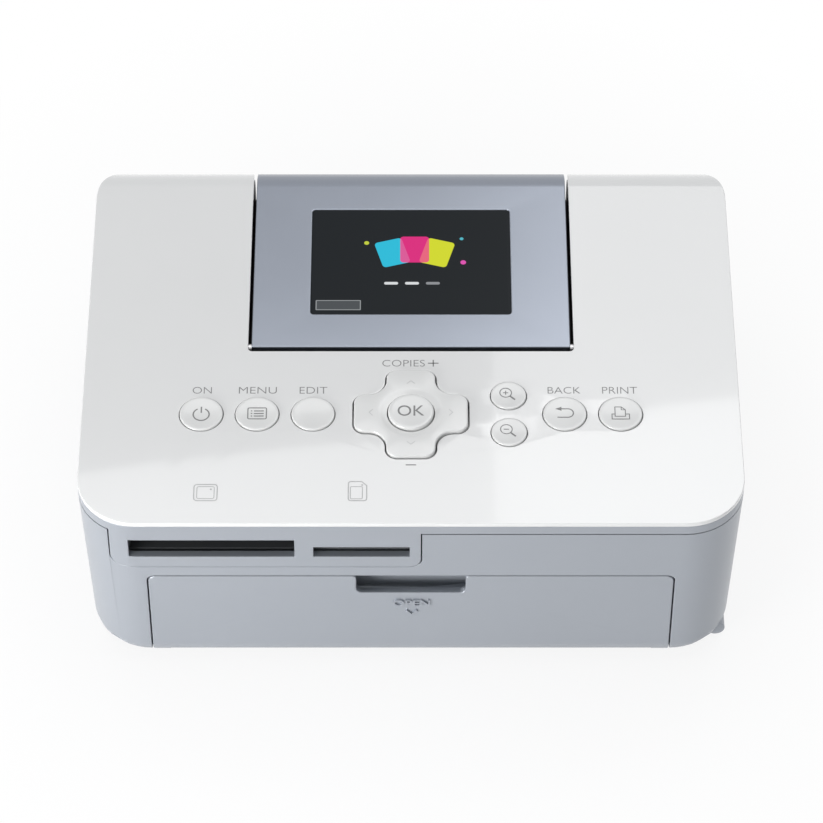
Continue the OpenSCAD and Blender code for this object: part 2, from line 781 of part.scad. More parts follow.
module main_case() color("lightsteelblue") difference() {
    union() {
        case_shell(case_top);
        // cheeks that carry the front door's pins
        intersection() {
            case_solid(0, case_top);
            for (s = [-1, 1]) scale([s, 1, 1])
                slab(cheek_x, cheek_x + cheek_t, front_y - cut, base_front - 1, 0, door_top + 2);
        }
        // lugs that carry the ink cover's pins
        rod_y(cover_front - front_lug_l, cover_front - seam, cover_axis_x, cover_axis_z, lug_r);
        rod_y(cover_rear + seam, cover_rear + lug_l, cover_axis_x, cover_axis_z, lug_r);
    }
    // opening for the bottom plate
    translate([0, 0, -cut]) linear_extrude(case_floor + cut + eps) base2(base_gap);
    // card-slot tab with its seam
    along_y(front_y - cut, front_y + corner_r + cut) tab2(seam);
    // front door
    along_y(front_y - cut, base_front + 1) door2(door_gap);
    // ink cover
    slab(base_hx, body_w, cover_front - seam, cover_rear + seam, -cut, cover_top + seam);
    // screen unit's way out at the rear
    slab(-well_cut_hx, well_cut_hx, 0, body_d, well_floor_rear - well_t, body_h * 2);
    // rear paper slot
    slab(-rear_slot_hx, rear_slot_hx, roll_y, body_d, path_z - 1, path_z - 1 + rear_slot_h);
    // power inlet and data port
    rod_y(roll_y, body_d, dc_x, dc_z, dc_r + 0.2);
    translate([0, 0, main_board_top])
        slab(port_x - port_hx - seam, port_x + port_hx + seam, roll_y, body_d, -0.2, port_h + seam);
    // cooling slots in the rear wall
    for (i = [0:vent_n - 1]) translate([vent_x + vent_pitch * i, 0, 0])
        slab(0, vent_w, roll_y, body_d, vent_top - vent_h, vent_top);
    // bores for the hinge pins
    rods_x(door_hx - cut, door_hx + corner_r, [door_axis_y, door_axis_z], door_pin_r + pin_clear);
    for (y = [cover_front - lug_l + 1, cover_rear - cut])
        rod_y(y, y + lug_l - 1 + cut, cover_axis_x, cover_axis_z, cover_pin_r + pin_clear);
}

module base2(g = 0)
    round_box2(-base_hx - g, base_hx + g, base_front - g, base_rear + g, corner_r - bottom_r);

module bottom_plate() color("gray") difference() {
    translate([0, 0, case_low]) linear_extrude(wall) base2();
    for (p = case_posts) rod_z(0, case_floor + cut, p[0], p[1], screw_r + 0.1);
    for (p = case_posts) rod_z(0, screw_seat, p[0], p[1], screw_head_r + 0.1);
}

module rubber_feet() color("dimgray")
    for (x = [-foot_x, foot_x], y = [-foot_y, foot_y]) rod_z(0, case_low, x, y, foot_r);

module case_screws() color("silver") for (p = case_posts) {
    rod_z(screw_seat - screw_head_h, screw_seat, p[0], p[1], screw_head_r);
    rod_z(screw_seat, case_floor + screw_grip, p[0], p[1], screw_r);
}

// ---------- screen unit ----------

function floor_line(z_front, z_rear, y) =
    z_front + (z_rear - z_front) * (y - unit_front) / (unit_rear - unit_front);

// Side view of the screen unit's space above a sloping floor
module unit2(inset, front, low_front, low_rear) intersection() {
    side_view2(inset);
    polygon([
        [front, floor_line(low_front, low_rear, front)],
        [rear_y, floor_line(low_front, low_rear, rear_y)],
        [rear_y, body_h * 2],
        [front, body_h * 2]
    ]);
}

module screen_well() color("black") difference() {
    union() {
        along_x(-well_out_hx, well_out_hx)
            unit2(plate_t, well_front - well_t, well_floor_front - well_t, well_floor_rear - well_t);
        for (s = [-1, 1]) scale([s, 1, 1]) translate([well_out_hx, 0, 0])
            slab(0, well_flange_w, well_front, flange_rear, deck_low - well_t, deck_low);
    }
    along_x(-well_hx, well_hx) polygon([
        [well_front, floor_line(well_floor_front, well_floor_rear, well_front)],
        [body_d, floor_line(well_floor_front, well_floor_rear, body_d)],
        [body_d, body_h * 2],
        [well_front, body_h * 2]
    ]);
    rod_x(-body_w, body_w, [axis_y, axis_z], hinge_pin_r + pin_clear);
}

module window2(g = 0)
    round_box2(-window_hx - g, window_hx + g, window_front - g, window_rear + g, window_r);

module screen_bezel() color("lightsteelblue") difference() {
    along_x(-unit_hx, unit_hx) intersection() {
        unit2(0, unit_front, unit_low_front, unit_low_rear);
        box2(unit_front, unit_rear, 0, body_h);
    }
    along_x(-unit_hx + bezel_t, unit_hx - bezel_t) intersection() {
        unit2(bezel_t, unit_front + bezel_t, 0, 0);
        box2(unit_front, unit_rear - bezel_t, 0, body_h);
    }
    linear_extrude(body_h * 2) window2();
    rod_x(-body_w, body_w, [axis_y, axis_z], hinge_pin_r);
}

module screen_back_cover() color("dimgray") along_x(-unit_hx + bezel_t + 0.1, unit_hx - bezel_t - 0.1)
    difference() {
        intersection() {
            unit2(bezel_t + 0.1, unit_front + bezel_t + 0.1, unit_low_front, unit_low_rear);
            box2(unit_front, unit_rear - bezel_t - 0.1, 0, body_h);
        }
        unit2(0, unit_front, unit_low_front + well_t, unit_low_rear + well_t);
    }

module screen_window() color("black")
    translate([0, 0, top_z - bezel_t]) linear_extrude(bezel_t - window_sink) window2(-0.05);

module screen_module() color("darkslategray") translate([0, 0, top_z - bezel_t - module_t])
    linear_extrude(module_t) box2(
        -window_hx - module_lap, window_hx + module_lap,
        window_front - module_lap, window_rear + module_lap
    );

module screen_hinge_pins() color("silver")
    rods_x(unit_hx - bezel_t, well_out_hx - 0.1, [axis_y, axis_z], hinge_pin_r);

// ---------- keys and what is under them ----------

module power_key() round_key(-key_x[2], row_y, key_r);
module menu_key() round_key(-key_x[1], row_y, key_r);
module edit_key() round_key(-key_x[0], row_y, key_r);
module zoom_in_key() round_key(key_x[0], row_y + zoom_dy, zoom_r);
module zoom_out_key() round_key(key_x[0], row_y - zoom_dy, zoom_r);
module back_key() round_key(key_x[1], row_y, key_r);
module print_key() round_key(key_x[2], row_y, key_r);

module four_way_key() color("whitesmoke") translate([0, row_y, 0]) difference() {
    union() {
        translate([0, 0, dpad_low]) linear_extrude(top_z + dpad_proud - dpad_low) dpad2();
        translate([0, 0, dpad_low]) linear_extrude(dpad_flange_top - dpad_low) dpad2(dpad_flange);
    }
    rod_z(0, body_h * 2, 0, 0, ok_hole_r);
    rod_z(0, dpad_recess_top, 0, 0, dpad_recess_r);
}

module four_way_pivot() color("dimgray") translate([0, row_y, 0]) difference() {
    rod_z(pivot_low, pivot_top, 0, 0, pivot_ro);
    rod_z(0, body_h, 0, 0, pivot_ri);
}

module ok_key() color("whitesmoke") translate([0, row_y, 0]) {
    cap(ok_r, key_low, top_z + ok_proud);
    rod_z(key_low, flange_top, 0, 0, ok_r + flange_w);
}

module board2(g = 0) difference() {
    union() {
        box2(-board_hx + g, board_hx - g, board_left_front + g, board_rear - g);
        box2(-board_step + g, board_hx - g, board_front + g, board_rear - g);
    }
    for (x = [-post_x, post_x], y = post_ys) translate([x, y]) circle(g > 0 ? post_r + 0.2 : screw_r);
}

module keypad_rubber() color("lightgray") {
    translate([0, 0, sheet_low]) linear_extrude(sheet_t) board2(sheet_in);
    for (x = [-key_x[2], -key_x[1], -key_x[0], 0, key_x[1], key_x[2]])
        rod_z(sheet_top, stem_top, x, row_y, dome_r);
    for (y = [-zoom_dy, zoom_dy]) rod_z(sheet_top, stem_top, key_x[0], row_y + y, dome_r);
    for (a = [0:90:270]) translate(small_dome_at * [cos(a), sin(a), 0])
        rod_z(sheet_top, small_dome_top, 0, row_y, small_dome_r);
}

module control_board() color("darkgreen")
    translate([0, 0, sheet_low - board_t]) linear_extrude(board_t) board2();

// ---------- cards, boards and sockets ----------

module card_guide(x0, x1, h, depth) translate([0, slot_y, 0]) difference() {
    slab(x0 - slot_t, x1 + slot_t, 0, depth, main_board_top, slot_low + h + slot_t);
    translate([0, 0, slot_low])
        slab(x0 + slot_lip, x1 - slot_lip, -cut, depth - slot_t, slot_lip_z, h - slot_lip_z);
}

module large_card_slot() color("dimgray")
    card_guide(large_slot_left, large_slot_right, large_slot_h, large_slot_depth);
module small_card_slot() color("dimgray")
    card_guide(small_slot_left, small_slot_right, small_slot_h, small_slot_depth);

module main_board() color("darkgreen")
    translate([0, 0, main_board_low]) linear_extrude(main_board_t) difference() {
    union() {
        box2(14 - body_hx, side_hx - 2.8, front_y + wall + 1.2, feed_y + 4);
        box2(7 - body_hx, 6.3 - side_hx, front_y + 23.5, side_rear);
    }
    for (p = case_posts) translate(p) circle(case_post_r + 0.6);
}

module dc_inlet() color("black") difference() {
    union() {
        slab(dc_x - 5, dc_x + 5, dc_front, dc_block_rear, main_board_top, dc_z + 5.2);
        rod_y(dc_block_rear - cut, rear_y - 1.9, dc_x, dc_z, dc_r);
    }
    difference() {
        rod_y(dc_front + 4, body_d, dc_x, dc_z, dc_r - dc_wall);
        rod_y(dc_front + 3, rear_y - 3.5, dc_x, dc_z, dc_pin_r);
    }
}

module data_port() color("silver") translate([port_x, 0, main_board_top]) difference() {
    slab(-port_hx, port_hx, port_front, rear_y - front_draft - 0.6, 0, port_h);
    slab(port_t - port_hx, port_hx - port_t, port_front + 2, body_d, port_t, port_h - port_t);
}

// ---------- front door and ink cover ----------

module door2(g = 0) {
    round_box2(-door_hx - g, door_hx + g, 0, door_top + g, door_r);
    box2(-door_hx - g, door_hx + g, -cut, door_r);
}

// The finger notch: its lower corners and the corners at the door's edge are rounded
module notch2() {
    round_box2(-notch_hx, notch_hx, door_top - notch_h, door_top + notch_low_r + cut, notch_low_r);
    for (s = [-1, 1]) scale([s, 1]) translate([notch_hx, door_top - notch_top_r]) difference() {
        box2(-eps, notch_top_r, 0, notch_top_r + cut);
        translate([notch_top_r, 0]) circle(notch_top_r);
    }
}

module front_door() color("lightsteelblue") difference() {
    union() {
        intersection() {
            case_shell(case_top);
            along_y(front_y - cut, base_front - seam) door2();
        }
        // finger pocket behind the notch
        along_y(front_y + wall - 0.4, pocket_rear + pocket_t)
            box2(-pocket_hx - pocket_t, pocket_hx + pocket_t, pocket_low - pocket_t, door_top);
        // arms round the hinge axis
        rods_x(door_hx - 4.6, door_hx - 0.2, [door_axis_y, door_axis_z], door_arm_r);
        rods_x(door_hx - 1, door_hx + 3.2, [door_axis_y, door_axis_z], door_pin_r);
    }
    along_y(front_y - cut, front_y + wall + 0.5) notch2();
    slab(-pocket_hx, pocket_hx, front_y + wall, pocket_rear, pocket_low, door_top + cut);
    // heel rounded about the hinge axis, so that it swings past the bottom plate
    along_x(-body_w, body_w) difference() {
        box2(door_axis_y, base_front + cut, 0, bottom_r * 2);
        translate([door_axis_y, door_axis_z]) circle(door_swing_r);
    }
}

module ink_cover() color("lightsteelblue") {
    intersection() {
        case_shell(case_top);
        slab(base_hx + seam, body_w, cover_front, cover_rear, 0, cover_top);
    }
    for (y = [cover_front, cover_rear - knuckle_l])
        rod_y(y, y + knuckle_l, cover_axis_x, cover_axis_z, knuckle_r);
    for (y = [cover_front - cover_pin_l, cover_rear - cut])
        rod_y(y, y + cover_pin_l + cut, cover_axis_x, cover_axis_z, cover_pin_r);
}

// ---------- paper path ----------

module paper_bay() color("dimgray") {
    slab(-bay_hx - bay_t, bay_hx + bay_t, bay_front, bay_rear, bay_low, bay_low + bay_t);
    for (s = [-1, 1]) scale([s, 1, 1]) {
        slab(bay_hx, bay_hx + bay_t, bay_front, bay_roof_rear, bay_low, bay_top);
        slab(bay_hx, bay_hx + bay_t, bay_roof_rear - eps, bay_rear, bay_low, guide_top - guide_t);
    }
    slab(-bay_hx - bay_t, bay_hx + bay_t, bay_front, bay_roof_rear, bay_top - bay_t, bay_top);
    for (x = board_post_xs, y = board_post_ys) rod_z(bay_top - eps, main_board_low, x, y, board_post_r);
}

module paper_guide() color("gray") difference() {
    union() {
        slab(-side_hx, side_hx, guide_front, guide_rear, guide_top - guide_t, guide_top);
        for (s = [-1, 1]) scale([s, 1, 1]) translate([rear_slot_hx, 0, guide_top - eps])
            slab(0, guide_t, platen_at[0] + 8.5, guide_rear, 0, rail_h + eps);
    }
    translate([0, platen_at[0], 0])
        slab(-platen_hx - 1, platen_hx + 1, -platen_r - platen_gap, platen_r + platen_gap, 0, body_h);
}

module side2() difference() {
    box2(side_front, side_rear, case_floor, side_top);
    for (p = [capstan_at, platen_at, feed_at]) translate(p) circle(shaft_r + bush_t);
    translate(pinch_at) circle(pinch_shaft_r + bush_t);
    translate(arm_at) circle(arm_pin_r + pin_clear);
}

module left_side_plate() color("silver") {
    along_x(-side_out, -side_hx) difference() {
        union() {
            side2();
            box2(take_up_y - 5, take_up_y + 5, side_top - cut, main_board_low);
        }
        translate([take_up_y, ink_mid_z]) circle(motor_shaft_r + 1.2);
    }
    rod_x(gear_out - 0.3, -side_hx - eps, idler_at, shaft_r);
}

module right_side_plate() color("silver") {
    along_x(side_hx, side_out) difference() {
        side2();
        box2(ink_front - 0.5, ink_rear + 0.5, ink_low - 0.5, ink_top + 0.5);
    }
    rod_x(side_hx + eps, lever_x + lever_t + 0.6, lever_at, lever_pin_r);
}

module tie_bars() color("silver") for (p = tie_at) rod_x(-side_hx, side_hx, p, tie_r);

module bushes_at(at, r) for (s = [-1, 1]) scale([s, 1, 1])
    ring_x(side_hx - 1, side_out, at, r + bush_t, r + pin_clear);

module shaft_bushes() color("white") {
    for (p = [capstan_at, platen_at, feed_at]) bushes_at(p, shaft_r);
    bushes_at(pinch_at, pinch_shaft_r);
}

// ---------- rollers ----------

module geared_shaft(at) rod_x(gear_out - 0.2, shaft_end, at, shaft_r);

module feed_roller() color("dimgray") {
    geared_shaft(feed_at);
    rods_x(tyre_x, tyre_x + tyre_l, feed_at, feed_r);
}

module capstan_roller() color("silver") {
    geared_shaft(capstan_at);
    rod_x(-capstan_hx, capstan_hx, capstan_at, capstan_r);
}

module pinch_roller() color("dimgray") {
    rod_x(-shaft_end, shaft_end, pinch_at, pinch_shaft_r);
    for (i = [-1:1]) translate([i * pinch_pitch, 0, 0]) rod_x(-pinch_l / 2, pinch_l / 2, pinch_at, pinch_r);
}

module platen_roller() color("black") {
    geared_shaft(platen_at);
    rod_x(-platen_hx, platen_hx, platen_at, platen_r);
}

// ---------- gears ----------

// Tooth flank drawn as four points for each tooth; a tooth's middle is at phase
module gear2(n, phase) {
    r = gear_m * n / 2;
    tip = r + 0.75 * gear_m;
    root = r - 1.05 * gear_m;
    pitch = 360 / n;
    polygon([
        for (i = [0:n - 1]) for (q = [[root, -0.32], [tip, -0.13], [tip, 0.13], [root, 0.32]])
            q[0] * [cos(phase + (i + q[1]) * pitch), sin(phase + (i + q[1]) * pitch)]
    ]);
}

module gear(at, n, phase, bore) along_x(gear_out, gear_in) translate(at) difference() {
    gear2(n, phase);
    circle(bore);
}

module feed_gear() color("ivory") gear(feed_at, feed_n, feed_phase, shaft_r);
module capstan_gear() color("ivory") gear(capstan_at, capstan_n, capstan_phase, shaft_r);
module platen_gear() color("ivory") gear(platen_at, platen_n, platen_phase, shaft_r);
module idler_gear() color("ivory") gear(idler_at, idler_n, idler_phase, shaft_r + pin_clear);

module motor_pinion() color("gold") {
    along_x(gear_out, gear_in) translate(pinion_at) gear2(pinion_n, pinion_phase);
    rod_x(bracket_out - shaft_grip, gear_in, pinion_at, motor_shaft_r);
}

// ---------- motors ----------

module motor_bracket() color("silver") {
    along_x(bracket_out, bracket_in) difference() {
        round_box2(bracket_front, bracket_rear, bracket_low, bracket_top, 2);
        translate(pinion_at) circle(motor_shaft_r + 1);
        translate(idler_at) circle(shaft_r + 1);
    }
    for (p = bracket_posts) rod_x(bracket_in - eps, -side_out, p, bracket_post_r);
}

module motor_can(x0, x1, at, r) difference() {
    rod_x(x0, x1, at, r);
    rod_x(x1 - shaft_grip - 1, x1 + cut, at, motor_shaft_r + pin_clear);
}

module drive_motor() color("gray") motor_can(motor_end, bracket_out, pinion_at, motor_r);

module ribbon_motor() color("gray")
    motor_can(ribbon_motor_end, -side_out, [take_up_y, ink_mid_z], ribbon_motor_r);

module ribbon_drive_dog() color("gold") translate([0, take_up_y, ink_mid_z]) {
    rod_x(-side_out - shaft_grip, 0.5 - side_hx, [0, 0], motor_shaft_r);
    rod_x(0.4 - side_hx, ink_left - 1.4, [0, 0], dog_r);
    for (a = [0:120:240]) rod_x(ink_left - 1.5, ink_left - 0.4, dog_r * 0.62 * [cos(a), sin(a)], dog_pin_r);
}

// ---------- head ----------

module head_arm() color("silver") {
    rod_x(-shaft_end, shaft_end, arm_at, arm_pin_r);
    difference() {
        union() {
            along_x(-head_hx - ear_t, head_hx + ear_t)
                box2(arm_at[0] - arm_hy, head_rear + 1, arm_low, arm_low + arm_t);
            for (s = [-1, 1]) scale([s, 1, 1]) along_x(head_hx, head_hx + ear_t)
                box2(arm_at[0] - arm_hy, arm_at[0] + arm_hy, arm_at[1] - arm_hy, arm_low + eps);
        }
        rod_x(-body_w, body_w, arm_at, arm_pin_r);
        for (x = window_xs) translate([x, 0, 0])
            slab(-window_l / 2, window_l / 2, arm_at[0] + 4, head_front - 3, 0, body_h);
    }
}

module heat_sink() color("silver") difference() {
    slab(-head_hx, head_hx, head_front, head_rear, head_low + head_t, arm_low);
    for (z = [head_low + head_t + 3.4:fin_pitch:arm_low - fin_pitch])
        for (y = [head_front - cut, head_rear - fin_depth])
            slab(-head_hx - cut, head_hx + cut, y, y + fin_depth + cut, z, z + fin_gap);
}

module thermal_head() color("ivory") {
    slab(-head_hx, head_hx, head_front + 0.4, head_rear - 0.4, head_low, head_low + head_t);
    slab(1 - head_hx, head_hx - 1, ink_gap_mid - 1, ink_gap_mid + 1, head_low - 0.65, head_low + eps);
}

module head_springs() color("silver") for (x = [-spring_x, spring_x])
    difference() {
        rod_z(arm_low + arm_t + 0.1, spring_top, x, spring_y, spring_r);
        rod_z(0, body_h, x, spring_y, spring_r - spring_t);
    }

// ---------- ink cassette ----------

module ink_tube(y0, y1) along_x(ink_left, grip_x) difference() {
    box2(y0, y1, ink_low, ink_top);
    box2(y0 + ink_t, y1 - ink_t, ink_low + ink_t, ink_top - ink_t);
}

module ink_cassette_shell() color("dimgray") difference() {
    union() {
        ink_tube(ink_front, ink_front + ink_box);
        ink_tube(ink_rear - ink_box, ink_rear);
        for (x = [[ink_left, ink_left + web_t], [ink_web, ink_web + web_t], [grip_x - eps, ink_right]])
            along_x(x[0], x[1]) box2(ink_front, ink_rear, ink_low, ink_top);
    }
    // finger hollow in the grip
    slab(grip_x + 4, ink_right + cut, ink_front + 4, ink_rear - 4, ink_mid_z + 2, ink_top + cut);
    for (y = [supply_y, take_up_y]) {
        rod_x(ink_left - cut, ink_left + web_t + cut, [y, ink_mid_z], spool_core_r + 0.1);
        rod_x(ink_web - cut, ink_web + web_t - 0.8, [y, ink_mid_z], spool_core_r + 0.1);
    }
    // slits where the ribbon leaves and enters
    for (y = [ink_front + ink_box - slit_l, ink_rear - ink_box - cut])
        slab(-spool_hx, spool_hx, y, y + slit_l + cut, ink_low - cut, ink_low + ink_t + 0.6);
}

module spool(y, r) {
    rod_x(ink_left + 0.2, ink_web + web_t - 1, [y, ink_mid_z], spool_core_r);
    rod_x(1 - spool_hx, spool_hx - 1, [y, ink_mid_z], r);
}

module supply_spool() color("black") spool(supply_y, supply_r);
module take_up_spool() color("black") spool(take_up_y, take_up_r);

module ink_ribbon() color("gold") translate([0, 0, path_z + 0.12]) linear_extrude(0.12)
    box2(2 - spool_hx, spool_hx - 2, ink_front + ink_box - 3.5, ink_rear - ink_box + 3.5);

module ink_lock_lever() color("orange") difference() {
    union() {
        rod_x(lever_x, lever_x + lever_t, lever_at, lever_hub_r);
        along_x(lever_x, lever_x + lever_t) {
            box2(lever_at[0] - lever_hw, lever_at[0] + lever_hw, lever_at[1], lever_top);
            box2(lever_at[0], ink_front - 0.5, lever_top - lever_t, lever_top);
        }
        along_x(lever_x, lever_x + lever_tab_l)
            box2(lever_at[0] - lever_hw, lever_at[0] + lever_hw, lever_top - lever_t, lever_top);
    }
    rod_x(0, body_w, lever_at, lever_pin_r + pin_clear);
}

// ---------- parts ----------

top_plate();
upper_frame();
main_case();
bottom_plate();
rubber_feet();
case_screws();
screen_well();
screen_bezel();
screen_back_cover();
screen_window();
screen_module();
screen_hinge_pins();
power_key();
menu_key();
edit_key();
zoom_in_key();
zoom_out_key();
back_key();
print_key();
four_way_key();
four_way_pivot();
ok_key();
keypad_rubber();
control_board();
large_card_slot();
small_card_slot();
main_board();
dc_inlet();
data_port();
front_door();
ink_cover();
paper_bay();
paper_guide();
left_side_plate();
right_side_plate();
tie_bars();
shaft_bushes();
feed_roller();
feed_gear();
capstan_roller();
capstan_gear();
pinch_roller();
platen_roller();
platen_gear();
idler_gear();
motor_bracket();
drive_motor();
motor_pinion();
ribbon_motor();
ribbon_drive_dog();
head_arm();
heat_sink();
thermal_head();
head_springs();
ink_cassette_shell();
supply_spool();
take_up_spool();
ink_ribbon();
ink_lock_lever();
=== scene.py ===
import json
import math
import bmesh
import bpy
from mathutils import Matrix, Vector


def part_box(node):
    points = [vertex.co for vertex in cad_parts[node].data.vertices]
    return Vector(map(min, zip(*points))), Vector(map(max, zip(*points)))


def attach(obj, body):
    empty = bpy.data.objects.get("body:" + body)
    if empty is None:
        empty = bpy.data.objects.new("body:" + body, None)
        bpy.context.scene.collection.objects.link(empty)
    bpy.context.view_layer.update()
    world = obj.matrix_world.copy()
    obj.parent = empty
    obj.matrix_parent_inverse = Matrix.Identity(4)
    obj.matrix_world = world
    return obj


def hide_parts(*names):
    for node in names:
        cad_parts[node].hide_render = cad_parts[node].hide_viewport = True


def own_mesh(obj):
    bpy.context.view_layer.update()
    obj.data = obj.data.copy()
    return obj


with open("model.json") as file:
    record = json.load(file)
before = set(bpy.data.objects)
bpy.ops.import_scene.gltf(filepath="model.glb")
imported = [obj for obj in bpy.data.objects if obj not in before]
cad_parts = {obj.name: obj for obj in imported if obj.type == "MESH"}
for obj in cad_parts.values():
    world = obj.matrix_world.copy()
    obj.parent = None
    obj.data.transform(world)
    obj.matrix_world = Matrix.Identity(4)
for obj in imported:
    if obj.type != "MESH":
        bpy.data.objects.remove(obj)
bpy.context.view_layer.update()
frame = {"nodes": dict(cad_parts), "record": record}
scene = bpy.context.scene
scene.view_settings.view_transform = "Standard"
cad = frame["nodes"]
body_of = {n: b for b, names in frame["record"]["behaviour"]["bodies"].items() for n in names}
MM = 0.001


# ---------- camera, floor and lights ----------

# Places and sizes in mm, angles in degrees
CAMERA_PLACE = (0.16, -747.3, 896.2)
CAMERA_ELEVATION = 49.3
CAMERA_LENS = 178.4

# Each lamp: name, place, target, width, depth, radiance, turn about its own axis.
# The rear edge of the overhead lamp is the slanting line that the glossy plate mirrors.
SOFTBOXES = (
    ("overhead", (0, 480, 1560), (0, 480, 0), 1700, 1500, 1.58, 8.5),
    ("rear_right_gloss", (530, 1100, 1480), (530, 1100, 0), 940, 1000, 1.0, 0.0),
    ("front_fill", (-250, -1500, 500), (0, 0, 30), 1400, 900, 0.35, 0.0),
    ("left_front", (-420, -430, 120), (-40, -60, 40), 320, 200, 16.0, 0.0),
    ("right_wall", (1500, 100, 500), (0, 0, 30), 1200, 900, 0.15, 0.0),
)
ROOM_COLOUR, ROOM_LIGHT = (0.93, 0.96, 1.0, 1), 0.42
WHITE = (1, 1, 1, 1)
FLOOR_COLOUR = (0.86, 0.86, 0.86, 1)
FLOOR_HALF, FLOOR_DROP = 4000, 0.1
# The floor shows part of its shadow near the object and turns plain white further out
SHADOW_NEAR, SHADOW_FAR, WHITE_NEAR = 110, 200, 0.86


def aim(thing, place, target):
    """Stands a lamp at a place and points it at a target."""
    thing.location = Vector(place) * MM
    thing.rotation_euler = (Vector(target) - Vector(place)).to_track_quat("-Z", "Y").to_euler()


def make_camera():
    data = bpy.data.cameras.new("camera")
    data.lens, data.sensor_width = CAMERA_LENS, 36.0
    data.clip_start, data.clip_end = 0.05, 20.0
    camera = bpy.data.objects.new("camera", data)
    scene.collection.objects.link(camera)
    camera.location = Vector(CAMERA_PLACE) * MM
    camera.rotation_euler = (math.radians(90 - CAMERA_ELEVATION), 0, 0)
    scene.camera = camera


def softbox(name, place, target, width, depth, radiance, turn):
    data = bpy.data.lights.new(name, "AREA")
    data.shape, data.size, data.size_y = "RECTANGLE", width * MM, depth * MM
    data.energy = radiance * math.pi * width * depth * MM * MM
    lamp = bpy.data.objects.new(name, data)
    scene.collection.objects.link(lamp)
    aim(lamp, place, target)
    lamp.rotation_euler.rotate_axis("Z", math.radians(turn))


def link_math(tree, kind, a, b):
    """Adds a Math node to a tree, fed with numbers or outputs, and gives its output."""
    node = tree.nodes.new("ShaderNodeMath")
    node.operation = kind
    for socket, value in zip(node.inputs, (a, b)):
        if isinstance(value, (int, float)):
            socket.default_value = value
        else:
            tree.links.new(value, socket)
    return node.outputs[0]


def seen_directly(tree):
    """1 for rays from the eye, a mirror or a glass pane, 0 for the rays that light the object."""
    path = tree.nodes.new("ShaderNodeLightPath")
    first = link_math(tree, "MAXIMUM", path.outputs["Is Camera Ray"], path.outputs["Is Glossy Ray"])
    return link_math(tree, "MAXIMUM", first, path.outputs["Is Transmission Ray"])


def make_world():
    """Plain room light, which shows itself as white."""
    world = bpy.data.worlds.new("studio")
    world.use_nodes = True
    tree = world.node_tree
    tree.nodes.clear()
    out = tree.nodes.new("ShaderNodeOutputWorld")
    mix = tree.nodes.new("ShaderNodeMixShader")
    room = tree.nodes.new("ShaderNodeBackground")
    room.inputs["Color"].default_value = ROOM_COLOUR
    room.inputs["Strength"].default_value = ROOM_LIGHT
    white = tree.nodes.new("ShaderNodeBackground")
    white.inputs["Color"].default_value = WHITE
    white.inputs["Strength"].default_value = 1.0
    tree.links.new(seen_directly(tree), mix.inputs[0])
    tree.links.new(room.outputs[0], mix.inputs[1])
    tree.links.new(white.outputs[0], mix.inputs[2])
    tree.links.new(mix.outputs[0], out.inputs["Surface"])
    scene.world = world


def make_floor():
    """White table, a hair under the feet, that keeps a soft shadow near the object."""
    bm = bmesh.new()
    under = Matrix.Translation((0, 0, -FLOOR_DROP * MM))
    bmesh.ops.create_grid(bm, x_segments=1, y_segments=1, size=FLOOR_HALF * MM, matrix=under)
    mesh = bpy.data.meshes.new("floor")
    bm.to_mesh(mesh)
    bm.free()
    floor = bpy.data.objects.new("floor", mesh)
    scene.collection.objects.link(floor)
    material = bpy.data.materials.new("white_table")
    material.use_nodes = True
    tree = material.node_tree
    tree.nodes.clear()
    out = tree.nodes.new("ShaderNodeOutputMaterial")
    mix = tree.nodes.new("ShaderNodeMixShader")
    matt = tree.nodes.new("ShaderNodeBsdfDiffuse")
    matt.inputs["Color"].default_value = FLOOR_COLOUR
    glow = tree.nodes.new("ShaderNodeEmission")
    glow.inputs["Strength"].default_value = 1.0
    place = tree.nodes.new("ShaderNodeNewGeometry")
    away = tree.nodes.new("ShaderNodeVectorMath")
    away.operation = "LENGTH"
    tree.links.new(place.outputs["Position"], away.inputs[0])
    fade = tree.nodes.new("ShaderNodeMapRange")
    fade.inputs["From Min"].default_value = SHADOW_NEAR * MM
    fade.inputs["From Max"].default_value = SHADOW_FAR * MM
    fade.inputs["To Min"].default_value = WHITE_NEAR
    fade.inputs["To Max"].default_value = 1.0
    tree.links.new(away.outputs["Value"], fade.inputs["Value"])
    share = link_math(tree, "MULTIPLY", seen_directly(tree), fade.outputs[0])
    tree.links.new(share, mix.inputs[0])
    tree.links.new(matt.outputs[0], mix.inputs[1])
    tree.links.new(glow.outputs[0], mix.inputs[2])
    tree.links.new(mix.outputs[0], out.inputs["Surface"])
    mesh.materials.append(material)


make_camera()
make_world()
make_floor()
for lamp_values in SOFTBOXES:
    softbox(*lamp_values)


# ---------- finishes ----------

def socket(group, name, kind, way, value=None):
    """Adds a named input or output to a shader group."""
    made = group.interface.new_socket(name=name, in_out=way, socket_type=kind)
    if value is not None:
        made.default_value = value


